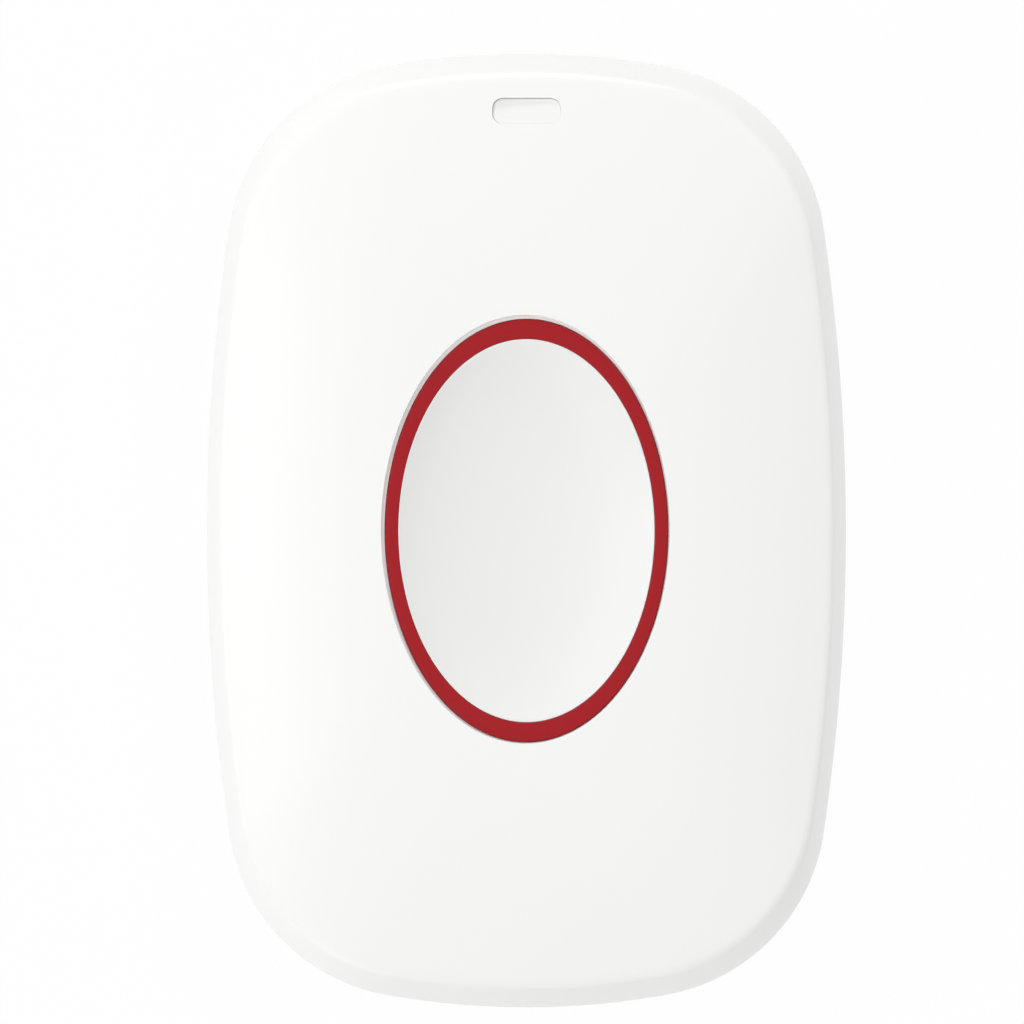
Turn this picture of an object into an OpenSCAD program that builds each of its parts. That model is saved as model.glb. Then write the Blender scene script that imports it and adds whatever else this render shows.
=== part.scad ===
/* [Case] */
// Width of the case across its middle
case_w = 50; // [47:0.5:56]
// Height of the case from the bottom edge to the top edge
case_h = 74.6; // [71:0.5:84]
// Radius of the long side curves of the outline
side_curve_r = 162; // [120:2:220]
// Radius of the top and bottom curves of the outline
end_curve_r = 61.4; // [52:1:76]
// Radius of the four corners of the outline
corner_r = 15.1; // [12:0.1:18]
// Height of the line where the two halves of the case meet
parting_z = 6.5; // [6:0.1:7.2]
// Open shadow line between the two halves
parting_gap = 0.1; // [0.05:0.05:0.3]
// Thickness of the front cover's walls
front_wall = 1.6; // [1.2:0.1:2]
// Thickness of the back cover's floor
back_wall = 1.8; // [1.4:0.1:2.4]

/* [Front face] */
// Height that the crowned face would reach at its middle
face_z = 15.5; // [15:0.1:17]
// Fall of the face from its middle to the crease
crown_drop = 2.6; // [1.6:0.1:3]
// How late the crown falls away, as a power
crown_power = 3; // [2:0.25:4]
// Width of the steep band from the crease out to the side of the case
flank_w = 1.08; // [0.8:0.02:1.6]
// How far the rounding of the crease reaches each way
crease_blend = 0.5; // [0.3:0.1:1.2]

/* [Back] */
// Draw-in of the back cover from the parting line to the back
back_tuck = 1.25; // [0.6:0.05:1.8]
// Rounding of the back cover's bottom edge
back_edge = 1.5; // [0.8:0.1:1.8]
// Height of the tongue that stands inside the front cover
tongue_h = 1.2; // [0.8:0.1:1.3]
// Thickness of the tongue
tongue_t = 1; // [0.8:0.1:1.2]

/* [Button] */
// Width of the red ring, outside, across the short axis
ring_w = 22.05; // [19:0.05:23]
// Height of the red ring, outside, along the long axis
ring_h = 32.95; // [29:0.05:35]
// Width of the red band at the short axis
ring_band = 1.02; // [0.8:0.01:1.4]
// How far the ring lies below the lip of the opening
ring_recess = 0.15; // [0.05:0.05:0.4]
// Height of the ring's wall
ring_depth = 3.4; // [3:0.1:3.6]
// Running gap between the ring and the opening
button_gap = 0.1; // [0.08:0.01:0.25]
// Radius of the small cove round the opening
lip_r = 0.3; // [0.2:0.05:0.5]
// Wall of the collar that guides the button
collar_t = 1.2; // [1:0.1:1.5]
// Depth of the thumb dish
dish_depth = 2.1; // [1.2:0.1:2.3]
// Share of the dish's depth that its steep rim makes up
dish_rim_share = 0.45; // [0:0.05:0.6]
// Thickness of the cap's dished wall
dish_wall = 1.3; // [1:0.1:1.5]
// Travel of the button
button_travel = 0.6; // [0.4:0.05:0.8]

/* [Light pipe] */
// Length of the window slot
slot_l = 5.3; // [4.5:0.1:7]
// Width of the window slot
slot_w = 2; // [1.6:0.1:2.2]
// Radius of the window slot's corners
slot_corner_r = 0.78; // [0.5:0.02:0.78]
// Distance of the slot's centre from the top edge of the case
slot_from_top = 4.55; // [4.3:0.05:5]
// How far the window lies below the face
slot_recess = 0.35; // [0.2:0.05:0.5]

/* [Circuit board] */
// Thickness of the board
board_t = 1.2; // [1:0.1:1.6]
// Distance of the board's edge from the outline of the case
board_inset = 5; // [4.7:0.1:5.4]
// Distance of the board screws from the side edges of the board
board_screw_side = 5.5; // [5:0.1:6]
// Distance of the board screws from the end edges of the board
board_screw_end = 7.8; // [7.3:0.1:8.8]
// Diameter of the board screws' shanks
board_screw_d = 1.9; // [1.6:0.1:2.2]
// Length of the board screws' shanks
board_screw_l = 5.6; // [4.8:0.1:5.8]

/* [Switch] */
// Side of the square push switch
switch_w = 6; // [5.6:0.1:6.4]
// Height of the switch's moulded base
switch_base_h = 2.3; // [2.2:0.1:2.5]
// Diameter of the switch's plunger
plunger_d = 3.3; // [3:0.1:3.5]
// Height of the plunger above the switch
plunger_rise = 0.6; // [0.5:0.05:0.8]
// Travel of the plunger
plunger_travel = 0.25; // [0.2:0.01:0.3]

/* [Battery] */
// Diameter of the coin cell
cell_d = 20; // [19.5:0.1:20.5]
// Thickness of the coin cell
cell_t = 3.2; // [3:0.1:3.3]
// Room between the coin cell and the boss of the lower wall screw
cell_boss_gap = 1.4; // [1.1:0.1:1.7]
// Wall of the battery holder
holder_wall = 1.3; // [1:0.1:1.4]

/* [Springs] */
// Room between each button spring and the end wall of the cap
spring_clear = 1.4; // [1:0.1:2]
// Outer diameter of the button springs
spring_d = 4.3; // [4:0.1:4.6]
// Wire of the button springs
spring_wire = 0.45; // [0.35:0.05:0.5]
// Turns of each button spring
spring_turns = 4.5; // [4:0.5:5]

/* [Aerial] */
// Outer diameter of the wound aerial
antenna_d = 4; // [3.6:0.1:4.4]
// Length of the wound aerial
antenna_l = 12; // [10:0.5:13]
// Wire of the aerial
antenna_wire = 0.6; // [0.5:0.05:0.7]
// Room between the aerial and the status lamp
antenna_gap = 0.6; // [0.4:0.1:3]

/* [Wall fixing] */
// Distance of the wall screw holes from the ends of the case
wall_screw_end = 8.3; // [7.6:0.1:8.5]
// Diameter of the wall screw holes
wall_screw_d = 4.2; // [3.4:0.1:4.6]

/* [Snaps] */
// Distance of each snap hook above and below the middle
hook_y = 13; // [10:0.5:15]
// Width of a snap hook
hook_w = 6; // [4:0.5:8]
// Thickness of a snap hook
hook_t = 1; // [0.8:0.1:1.1]

/* [Hidden] */

$fn = 64;

// Overrun of every cut past the faces that it goes through
cut = 0.5;
// Gap between pieces that are pushed together and stay together
snug = 0.05;

// Number of points on each stretch of a quarter of the outline
side_steps = 6;
corner_steps = 10;
end_steps = 6;

half_w = case_w / 2;
half_h = case_h / 2;
board_half_w = half_w - board_inset;
board_half_h = half_h - board_inset;

// The outline is three tangent arcs in each quarter: side, corner, end
side_c = [half_w - side_curve_r, 0];
end_c = [0, half_h - end_curve_r];
corner_c = meeting_point(side_c, side_curve_r - corner_r, end_c, end_curve_r - corner_r);
side_turn = atan2(corner_c.y, corner_c.x - side_c.x);
end_turn = atan2(corner_c.y - end_c.y, corner_c.x);
quarter = concat(
    arc_points(side_c, side_curve_r, 0, side_turn, side_steps),
    arc_points(corner_c, corner_r, side_turn, end_turn, corner_steps),
    arc_points(end_c, end_curve_r, end_turn, 90, end_steps));
half_outline = concat(quarter, [[0, half_h]],
    [for (i = [len(quarter) - 1 : -1 : 1]) [-quarter[i].x, quarter[i].y]]);
outline = concat(half_outline, [for (p = half_outline) -p]);

// The point at distance ra from a and rb from b, on the outer side
function meeting_point(a, ra, b, rb) =
    let (d = norm(b - a), u = (b - a) / d, t = (ra * ra - rb * rb + d * d) / (2 * d))
    a + t * u + sqrt(ra * ra - t * t) * [-u.y, u.x];

function arc_points(c, r, from, to, steps) =
    [for (i = [0 : steps - 1]) let (t = from + (to - from) * i / steps) c + r * [cos(t), sin(t)]];

function mix(a, b, t) = a + (b - a) * t;

// A curve that leaves a towards b and arrives at c from b
function bend(a, b, c, t) = mix(mix(a, b, t), mix(b, c, t), t);

// The share of the outline, measured from the centre, on which a point lies
function share_at(p) = max([for (k = [0 : len(outline) - 1])
    let (q = outline[k], r = outline[(k + 1) % len(outline)], out = [r.y - q.y, q.x - r.x])
    (out * p) / (out * q)]);

// The outline drawn in to a share of its size and then by a wall, at one height
function outline_ring(share, inset, z) =
    [for (p = outline) [p.x * (share - inset / half_w), p.y * (share - inset / half_h), z]];

function outline_2d(inset) =
    [for (p = outline) [p.x * (1 - inset / half_w), p.y * (1 - inset / half_h)]];

// Half of the case's width at a height y above the middle
function outline_x(y) = side_c.x + sqrt(side_curve_r * side_curve_r - y * y);

// Skins a stack of rings that run anticlockwise, closed on itself or with a flat face at each end
module loft(rings, closed = false) {
    n = len(rings[0]);
    m = len(rings);
    bands = [for (k = [0 : m - (closed ? 1 : 2)]) for (i = [0 : n - 1])
        let (a = k * n + i, b = k * n + (i + 1) % n, up = ((k + 1) % m - k) * n)
        each [[a + up, b + up, b], [a + up, b, a]]];
    ends = [[for (i = [0 : n - 1]) i], [for (i = [n - 1 : -1 : 0]) (m - 1) * n + i]];
    polyhedron([for (r = rings) each r], closed ? bands : concat(bands, ends), convexity = 8);
}

// The shape of the window slot, grown on all sides
module slot_shape(grow, h) {
    l = slot_l + 2 * grow;
    w = slot_w + 2 * grow;
    r = slot_corner_r + grow;
    linear_extrude(h) {
        square([l - 2 * r, w], center = true);
        square([l, w - 2 * r], center = true);
        for (x = [-1, 1], y = [-1, 1]) translate([x * (l / 2 - r), y * (w / 2 - r)]) circle(r = r);
    }
}

// Stack of heights from the back of the case to the top of the switch
cell_gap = 0.3;
clip_t = 0.25;
contact_space = 0.35;
holder_base_t = 0.5;
cell_low_z = back_wall + cell_gap + clip_t;
cell_top_z = cell_low_z + cell_t;
board_low_z = cell_top_z + contact_space + holder_base_t;
board_top_z = board_low_z + board_t;
switch_cover_t = 0.2;
switch_top_z = board_top_z + switch_base_h + switch_cover_t;
plunger_top_z = switch_top_z + plunger_rise;

// The face falls from its middle to the crease, and the flank curves from there down to the parting line
crease_share = 1 - flank_w / half_w;
crease_z = face_z - crown_drop;
flank_power = 1.8;
function crown_z(share) = face_z - crown_drop * pow(share / crease_share, crown_power);
function flank_share(z) =
    1 - (1 - crease_share) * pow((z - parting_z) / (crease_z - parting_z), flank_power);
// Slope of the face along Y at a place on the long axis
function crown_slope(y) =
    atan(crown_power * crown_drop * pow(y / half_h / crease_share, crown_power - 1) / crease_share / half_h);

// The oval of the button: a circle drawn out along Y
oval_share = ring_h / ring_w;
ring_r = ring_w / 2;
opening_r = ring_r + button_gap;
collar_r = opening_r + collar_t;
function oval_share_at(p, r) = 1 / norm([p.x / r, p.y / (r * oval_share)]);
oval_steps = 64;
function oval_at(r, z) =
    [for (i = [0 : oval_steps - 1]) let (t = 360 * i / oval_steps) [r * cos(t), r * oval_share * sin(t), z]];

lip_low_z = crown_z((opening_r + lip_r) / half_w);
ring_top_z = lip_low_z - ring_recess;
ring_low_z = ring_top_z - ring_depth;
stop_gap = 0.1;
collar_low_z = ring_low_z + stop_gap;

// Rings of the front cover, up the outside, in over the face, down the opening and back along the inside
flank_steps = 4;
crease_steps = 4;
face_steps = 5;
lip_steps = 3;
ceiling_steps = 4;
blend_low_z = crease_z - crease_blend;
blend_share = crease_share - crease_blend / half_w;
ceiling_share = crease_share - front_wall / half_w;
inner_top_z = crease_z - front_wall;

// The tongue of the back cover stands in the straight lower part of the front cover's wall
tongue_gap = 0.1;
tongue_top_z = parting_z + tongue_h;
seat_top_z = tongue_top_z + tongue_gap;

function face_ring(t) = [for (p = outline)
    let (s = mix(blend_share, oval_share_at(p, opening_r + lip_r), t)) [p.x * s, p.y * s, crown_z(s)]];
function lip_ring(turn) = [for (p = outline)
    let (s = oval_share_at(p, opening_r + lip_r * cos(turn)))
    [p.x * s, p.y * s, crown_z(oval_share_at(p, opening_r + lip_r)) - lip_r * sin(turn)]];
function oval_ring(r, z) = [for (p = outline) let (s = oval_share_at(p, r)) [p.x * s, p.y * s, z]];
function ceiling_ring(t) = [for (p = outline)
    let (s = mix(oval_share_at(p, collar_r), ceiling_share, t)) [p.x * s, p.y * s, crown_z(s) - front_wall]];

front_rings = concat(
    [for (i = [0 : flank_steps - 1]) let (z = mix(parting_z, blend_low_z, i / flank_steps))
        outline_ring(flank_share(z), 0, z)],
    [for (i = [0 : crease_steps])
        let (q = bend([flank_share(blend_low_z), blend_low_z], [crease_share, crease_z],
            [blend_share, crown_z(blend_share)], i / crease_steps))
        outline_ring(q[0], 0, q[1])],
    [for (i = [1 : face_steps]) face_ring(i / face_steps)],
    [for (i = [1 : lip_steps]) lip_ring(90 * i / lip_steps)],
    [oval_ring(opening_r, collar_low_z), oval_ring(collar_r, collar_low_z)],
    [for (i = [0 : ceiling_steps]) ceiling_ring(i / ceiling_steps)],
    [for (z = [inner_top_z, mix(inner_top_z, seat_top_z, 1 / 2)]) outline_ring(flank_share(z), front_wall, z)],
    [for (z = [seat_top_z, parting_z]) outline_ring(1, front_wall, z)]);

// Bosses and pins of the front cover that carry the board
boss_r = 2.6;
pilot_gap = 0.05;
pilot_spare = 0.4;
pin_side = 3.4;
pin_r = 0.8;
pin_seat_r = 1.5;
pin_gap = 0.08;
pin_spare = 0.4;
pin_boss_gap = 1.4;
board_screw_x = board_half_w - board_screw_side;
board_screw_y = board_half_h - board_screw_end;
pin_x = board_half_w - pin_side;
pin_y = board_screw_y - boss_r - pin_seat_r - pin_boss_gap;
module at_board_screws() {
    for (x = [-1, 1], y = [-1, 1]) translate([x * board_screw_x, y * board_screw_y, 0]) children();
}
// One pin stands in the upper right, the other in the lower left
module at_pins() {
    for (turn = [0, 180]) rotate(turn) translate([pin_x, pin_y, 0]) children();
}
// Height half way through the cover's wall above a point
function inside_face_z(p) = crown_z(share_at(p)) - front_wall / 2;

// Stiffening ribs under the face, which follow its crown
rib_t = 0.9;
rib_steps = 4;
rib_low_z = collar_low_z + stop_gap;
rib_end_gap = 0.2;
side_rib_share = 0.43;
end_rib_share = 0.72;
rib_root_r = collar_r - collar_t / 2;
side_rib_y = side_rib_share * collar_r * oval_share;
side_rib_x = rib_root_r * sqrt(1 - side_rib_share * side_rib_share);
end_rib_x = end_rib_share * collar_r;
end_rib_y = rib_root_r * oval_share * sqrt(1 - end_rib_share * end_rib_share);
module crown_rib(from, to) {
    along = (to - from) / norm(to - from);
    top = [for (i = [0 : rib_steps]) let (p = mix(from, to, i / rib_steps))
        [norm(p - from), inside_face_z(p)]];
    translate([from.x, from.y, 0]) rotate([90, 0, atan2(along.y, along.x)])
        translate([0, 0, -rib_t / 2]) linear_extrude(rib_t)
            polygon(concat(top, [[norm(to - from), rib_low_z], [0, rib_low_z]]));
}

// Snap ledges in the front cover, and the hooks of the back cover that grip them
ledge_reach = 1;
ledge_h = 0.6;
ledge_low_z = seat_top_z + tongue_gap;
ledge_top_z = ledge_low_z + ledge_h;
hook_gap = 0.2;
hook_inset = front_wall + tongue_gap + tongue_t + hook_gap;
barb_gap = 0.6;
barb_reach = hook_inset - front_wall - barb_gap;
barb_h = 1.2;
module at_hooks() {
    for (x = [0, 1], y = [-1, 1])
        mirror([x, 0, 0]) translate([outline_x(hook_y), y * hook_y, 0]) children();
}

slot_y = half_h - slot_from_top;
slot_tilt = crown_slope(slot_y);

module front_cover() {
    color([0.96, 0.96, 0.95]) difference() {
        union() {
            loft(front_rings, closed = true);
            at_board_screws() translate([0, 0, board_top_z])
                cylinder(r = boss_r, h = inside_face_z([board_screw_x, board_screw_y]) - board_top_z);
            at_pins() {
                translate([0, 0, board_top_z])
                    cylinder(r = pin_seat_r, h = inside_face_z([pin_x, pin_y]) - board_top_z);
                translate([0, 0, board_low_z - pin_spare])
                    cylinder(r = pin_r, h = board_t + pin_spare + cut);
            }
            for (x = [-1, 1], y = [-1, 1]) {
                crown_rib([x * side_rib_x, y * side_rib_y],
                    [x * (half_w - front_wall - rib_end_gap), y * side_rib_y]);
                crown_rib([x * end_rib_x, y * end_rib_y], [x * end_rib_x, y * half_h * ceiling_share]);
            }
            at_hooks() translate([-front_wall - ledge_reach, -hook_w / 2, ledge_low_z])
                cube([ledge_reach + front_wall / 2, hook_w, ledge_h]);
        }
        at_board_screws() translate([0, 0, board_top_z - cut])
            cylinder(d = board_screw_d + 2 * pilot_gap, h = cut + board_screw_l - board_t + pilot_spare);
        translate([0, slot_y, inner_top_z - front_wall]) slot_shape(0, face_z);
    }
}

// Rings of the back cover, from its flat back up the outside and down into the tray
back_steps = 3;
edge_steps = 4;
back_power = 2;
rim_step = 0.1;
back_rim_z = parting_z - parting_gap;
tray_inset = front_wall + tongue_gap + tongue_t;
tray_fillet = 0.5;
function back_share(z) = 1 - (rim_step + (back_tuck - rim_step) * pow(1 - z / back_rim_z, back_power)) / half_w;
back_rings = concat(
    [for (i = [0 : edge_steps])
        let (q = bend([back_share(0) - back_edge / half_w, 0], [back_share(0), 0],
            [back_share(back_edge), back_edge], i / edge_steps))
        outline_ring(q[0], 0, q[1])],
    [for (i = [1 : back_steps]) let (z = mix(back_edge, back_rim_z, i / back_steps))
        outline_ring(back_share(z), 0, z)],
    [for (q = [[front_wall + tongue_gap, back_rim_z], [front_wall + tongue_gap, tongue_top_z],
        [tray_inset, tongue_top_z], [tray_inset, back_wall + tray_fillet],
        [tray_inset + tray_fillet, back_wall]]) outline_ring(1, q[0], q[1])]);

// Bosses round the wall screw holes, and the notch that a coin opens the case with
wall_boss_r = 4.6;
wall_boss_h = 1;
wall_screw_y = half_h - wall_screw_end;
notch_w = 8;
notch_h = 0.9;
notch_depth = 0.9;

module snap_hook() {
    foot_z = back_wall / 2;
    grip_z = ledge_top_z + snug;
    translate([-hook_inset, 0, 0]) rotate([90, 0, 0]) translate([0, 0, -hook_w / 2])
        linear_extrude(hook_w)
            polygon([[-hook_t, foot_z], [0, foot_z], [0, grip_z], [barb_reach, grip_z],
                [barb_reach, grip_z + barb_h / 4], [0, grip_z + barb_h], [-hook_t, grip_z + barb_h]]);
}

module back_cover() {
    color([0.93, 0.93, 0.92]) difference() {
        union() {
            loft(back_rings);
            for (y = [-1, 1]) translate([0, y * wall_screw_y, back_wall / 2])
                cylinder(r = wall_boss_r, h = back_wall / 2 + wall_boss_h);
            at_hooks() snap_hook();
        }
        for (y = [-1, 1]) translate([0, y * wall_screw_y, -cut])
            cylinder(d = wall_screw_d, h = back_wall + wall_boss_h + 2 * cut);
        translate([-notch_w / 2, -half_h - cut, back_rim_z - notch_h])
            cube([notch_w, cut + notch_depth, notch_h + cut]);
    }
}

// The cap inside the ring, its flange below the collar, and its dish
cap_r = ring_r - ring_band - snug;
cap_wall = 1.2;
flange_t = 0.9;
flange_reach = 0.9;
flange_r = opening_r + flange_reach;
flange_low_z = ring_low_z - flange_t;
rim_land = 0.15;
dish_r = cap_r - rim_land;
dish_steps = 9;
under_steps = 6;
dish_power = 2;
dish_rim_power = 6;
dish_low_z = ring_top_z - dish_depth;
press_spare = 0.05;
stem_r = 2;
stem_low_z = plunger_top_z + button_travel - plunger_travel + press_spare;
spring_seat_z = dish_low_z - dish_wall + snug;
peg_l = 0.9;
peg_gap = 0.2;
peg_r = spring_d / 2 - spring_wire - peg_gap;
spring_y = (cap_r - cap_wall) * oval_share - spring_clear - spring_d / 2;
cap_rib_t = 1;
cap_rib_h = 0.8;
cap_rib_l = 2 * (spring_y - spring_d / 2 - peg_gap);
cap_rib_z = max(spring_seat_z - cap_rib_h, stem_low_z + snug);

// Height of the dish above the board, at a distance from its middle along the short axis
function dish_z(r) = dish_low_z + dish_depth * ((1 - dish_rim_share) * pow(r / dish_r, dish_power)
    + dish_rim_share * pow(r / dish_r, dish_rim_power));
cap_rings = concat(
    [for (i = [1 : under_steps]) let (r = (cap_r - cap_wall) * i / under_steps)
        oval_at(r, dish_z(r) - dish_wall)],
    [oval_at(cap_r - cap_wall, flange_low_z), oval_at(flange_r, flange_low_z),
        oval_at(flange_r, ring_low_z), oval_at(cap_r, ring_low_z), oval_at(cap_r, ring_top_z)],
    [for (i = [dish_steps : -1 : 1]) let (r = dish_r * i / dish_steps) oval_at(r, dish_z(r))]);

module button_cap() {
    color([0.95, 0.95, 0.94]) union() {
        loft(cap_rings);
        translate([0, 0, stem_low_z]) cylinder(r = stem_r, h = dish_low_z - dish_wall / 2 - stem_low_z);
        for (y = [-spring_y, spring_y]) translate([0, y, 0]) {
            translate([0, 0, spring_seat_z]) cylinder(d = spring_d + 2 * peg_gap, h = dish_wall);
            translate([0, 0, spring_seat_z - peg_l]) cylinder(r = peg_r, h = peg_l + dish_wall);
        }
        translate([-cap_rib_t / 2, -cap_rib_l / 2, cap_rib_z])
            cube([cap_rib_t, cap_rib_l, dish_low_z - dish_wall / 2 - cap_rib_z]);
    }
}

ring_edge = 0.15;
module button_ring() {
    ring_in = ring_r - ring_band;
    color([0.62, 0.12, 0.14]) loft([oval_at(ring_r, ring_low_z), oval_at(ring_r, ring_top_z - ring_edge),
        oval_at(ring_r - ring_edge, ring_top_z), oval_at(ring_in, ring_top_z), oval_at(ring_in, ring_low_z)],
        closed = true);
}

// A wire of round section wound about Z, with its rings square to the wire
wire_sides = 6;
turn_steps = 12;
function wire_ring(p, along, out, r) =
    let (u = along / norm(along), v = out - (out * u) * u, n = v / norm(v), b = cross(u, n))
    [for (i = [0 : wire_sides - 1]) let (t = 360 * i / wire_sides) p + r * (cos(t) * n + sin(t) * b)];
function coil_rings(r, wire_r, l, turns, start) =
    let (steps = ceil(turns * turn_steps), rise = l / (turns * 2 * PI))
    [for (i = [0 : steps]) let (t = start + 360 * turns * i / steps)
        wire_ring([r * cos(t), r * sin(t), l * i / steps], [-r * sin(t), r * cos(t), rise],
            [cos(t), sin(t), 0], wire_r)];

module button_springs() {
    spring_h = spring_seat_z - board_top_z - 2 * snug;
    color([0.75, 0.75, 0.77]) for (y = [-spring_y, spring_y])
        translate([0, y, board_top_z + snug + spring_wire / 2])
            loft(coil_rings((spring_d - spring_wire) / 2, spring_wire / 2, spring_h - spring_wire,
                spring_turns, 0));
}

// The light pipe's head fills the slot, its flange seats under the wall and its foot ends above the lamp
pipe_flange_reach = 0.3;
pipe_flange_t = 0.8;
pipe_flange_z = inner_top_z - pipe_flange_reach / 2;
pipe_foot_w = 3;
pipe_foot_l = 3.6;
lamp_w = 1.6;
lamp_l = 3.2;
lamp_h = 1.2;
lamp_edge = 0.4;
lamp_y = half_h - board_inset - lamp_edge - lamp_w / 2;
pipe_gap = 0.4;
module light_pipe() {
    foot_z = board_top_z + lamp_h + pipe_gap;
    color([0.93, 0.95, 0.96]) difference() {
        union() {
            translate([0, slot_y, pipe_flange_z - pipe_flange_t])
                slot_shape(-snug, face_z - pipe_flange_z + pipe_flange_t);
            translate([0, slot_y, pipe_flange_z - pipe_flange_t])
                slot_shape(pipe_flange_reach, pipe_flange_t);
            translate([-pipe_foot_l / 2, lamp_y - lamp_w / 2, foot_z])
                cube([pipe_foot_l, pipe_foot_w, pipe_flange_z - pipe_flange_t / 2 - foot_z]);
        }
        translate([0, slot_y, crown_z(slot_y / half_h) - slot_recess]) rotate([-slot_tilt, 0, 0])
            translate([-slot_l, -slot_l, 0]) cube([2 * slot_l, 2 * slot_l, face_z]);
    }
}

board_hole_gap = 0.25;
board_hole_r = board_screw_d / 2 + board_hole_gap;
module circuit_board() {
    color([0.1, 0.4, 0.22]) translate([0, 0, board_low_z]) difference() {
        linear_extrude(board_t) polygon(outline_2d(board_inset));
        at_board_screws() translate([0, 0, -cut]) cylinder(r = board_hole_r, h = board_t + 2 * cut);
        at_pins() translate([0, 0, -cut]) cylinder(r = pin_r + pin_gap, h = board_t + 2 * cut);
    }
}

screw_head_r = 1.9;
screw_head_h = 1.3;
screw_tip_h = 0.8;
screw_cross_w = 0.5;
screw_cross_l = 2.2;
screw_cross_depth = 0.7;
module board_screws() {
    color([0.7, 0.7, 0.72]) at_board_screws() translate([0, 0, board_low_z]) difference() {
        union() {
            translate([0, 0, -screw_head_h]) cylinder(r = screw_head_r, h = screw_head_h);
            cylinder(d = board_screw_d, h = board_screw_l - screw_tip_h);
            translate([0, 0, board_screw_l - screw_tip_h])
                cylinder(r1 = board_screw_d / 2, r2 = board_screw_d / 4, h = screw_tip_h);
        }
        for (turn = [0, 90]) rotate(turn)
            translate([-screw_cross_l / 2, -screw_cross_w / 2, -screw_head_h - cut])
                cube([screw_cross_l, screw_cross_w, screw_cross_depth + cut]);
    }
}

// The push switch: base with a round well, snap disc, plunger with a flange, and a steel cover
well_r = 2.45;
well_floor_t = 0.5;
well_z = board_top_z + well_floor_t;
dome_r = 2.3;
dome_rise = 0.4;
dome_t = 0.1;
dome_ball_r = (dome_r * dome_r + dome_rise * dome_rise) / (2 * dome_rise);
dome_top_z = well_z + snug + dome_rise;
plunger_flange_r = 2.2;
plunger_flange_t = 0.5;
plunger_flange_top_z = switch_top_z - switch_cover_t - stop_gap;
plunger_nub_r = 0.8;
plunger_fit = 0.08;

module switch_housing() {
    color([0.12, 0.12, 0.13]) difference() {
        translate([-switch_w / 2, -switch_w / 2, board_top_z]) cube([switch_w, switch_w, switch_base_h]);
        translate([0, 0, well_z]) cylinder(r = well_r, h = switch_base_h);
    }
}

module switch_dome() {
    color([0.8, 0.8, 0.78]) intersection() {
        translate([0, 0, dome_top_z - dome_ball_r]) difference() {
            sphere(r = dome_ball_r, $fn = 128);
            sphere(r = dome_ball_r - dome_t, $fn = 128);
        }
        translate([0, 0, well_z + snug]) cylinder(r = dome_r, h = switch_base_h);
    }
}

module switch_plunger() {
    color([0.85, 0.85, 0.82]) union() {
        translate([0, 0, plunger_flange_top_z - plunger_flange_t])
            cylinder(r = plunger_flange_r, h = plunger_flange_t);
        translate([0, 0, plunger_flange_top_z - plunger_flange_t])
            cylinder(d = plunger_d, h = plunger_top_z - plunger_flange_top_z + plunger_flange_t);
        translate([0, 0, dome_top_z + snug])
            cylinder(r = plunger_nub_r, h = plunger_flange_top_z - dome_top_z - snug);
    }
}

cover_flap_t = 0.15;
cover_flap_w = 2.4;
cover_flap_h = 1.4;
module switch_cover() {
    color([0.78, 0.79, 0.8]) difference() {
        union() {
            translate([-switch_w / 2, -switch_w / 2, switch_top_z - switch_cover_t])
                cube([switch_w, switch_w, switch_cover_t]);
            for (side = [0, 1]) mirror([0, side, 0])
                translate([-cover_flap_w / 2, switch_w / 2, switch_top_z - cover_flap_h])
                    cube([cover_flap_w, cover_flap_t, cover_flap_h]);
        }
        translate([0, 0, switch_top_z - switch_cover_t - cut])
            cylinder(d = plunger_d + 2 * plunger_fit, h = switch_cover_t + 2 * cut);
    }
}

leg_w = 0.7;
leg_t = 0.2;
leg_reach = 1.4;
leg_rise = 0.6;
leg_y = 2.2;
module switch_terminals() {
    color([0.8, 0.78, 0.72]) for (x = [0, 1], y = [-1, 1]) mirror([x, 0, 0])
        translate([switch_w / 2, y * leg_y + leg_w / 2, board_top_z]) rotate([90, 0, 0])
            linear_extrude(leg_w)
                polygon([[0, leg_rise], [0, leg_rise - leg_t], [leg_reach / 3, leg_rise - leg_t],
                    [leg_reach / 3, 0], [leg_reach, 0], [leg_reach, leg_t],
                    [leg_reach / 3 + leg_t, leg_t], [leg_reach / 3 + leg_t, leg_rise]]);
}

// The holder hangs from the back of the board, round the coin cell
cell_side_gap = 0.15;
cell_y = wall_screw_y - wall_boss_r - cell_boss_gap - cell_d / 2;
holder_r = cell_d / 2 + cell_side_gap + holder_wall;
holder_wall_h = 2.4;
thumb_w = 9;
module battery_holder() {
    color([0.13, 0.13, 0.14]) translate([0, -cell_y, 0]) difference() {
        translate([0, 0, board_low_z - holder_base_t - holder_wall_h])
            cylinder(r = holder_r, h = holder_base_t + holder_wall_h);
        translate([0, 0, board_low_z - holder_base_t - holder_wall_h - cut])
            cylinder(r = holder_r - holder_wall, h = holder_wall_h + cut);
        translate([-thumb_w / 2, 0, board_low_z - holder_base_t - holder_wall_h - cut])
            cube([thumb_w, holder_r + cut, holder_wall_h + cut]);
    }
}

cell_step_h = 0.2;
cell_step_w = 1.2;
cell_cap_r = cell_d / 2 - cell_step_w;
cell_edge = 0.3;
module coin_cell() {
    color([0.8, 0.81, 0.82]) translate([0, -cell_y, cell_low_z]) rotate_extrude()
        polygon([[0, 0], [cell_d / 2 - cell_edge, 0], [cell_d / 2, cell_edge],
            [cell_d / 2, cell_t - cell_step_h], [cell_cap_r, cell_t - cell_step_h], [cell_cap_r, cell_t],
            [0, cell_t]]);
}

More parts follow.
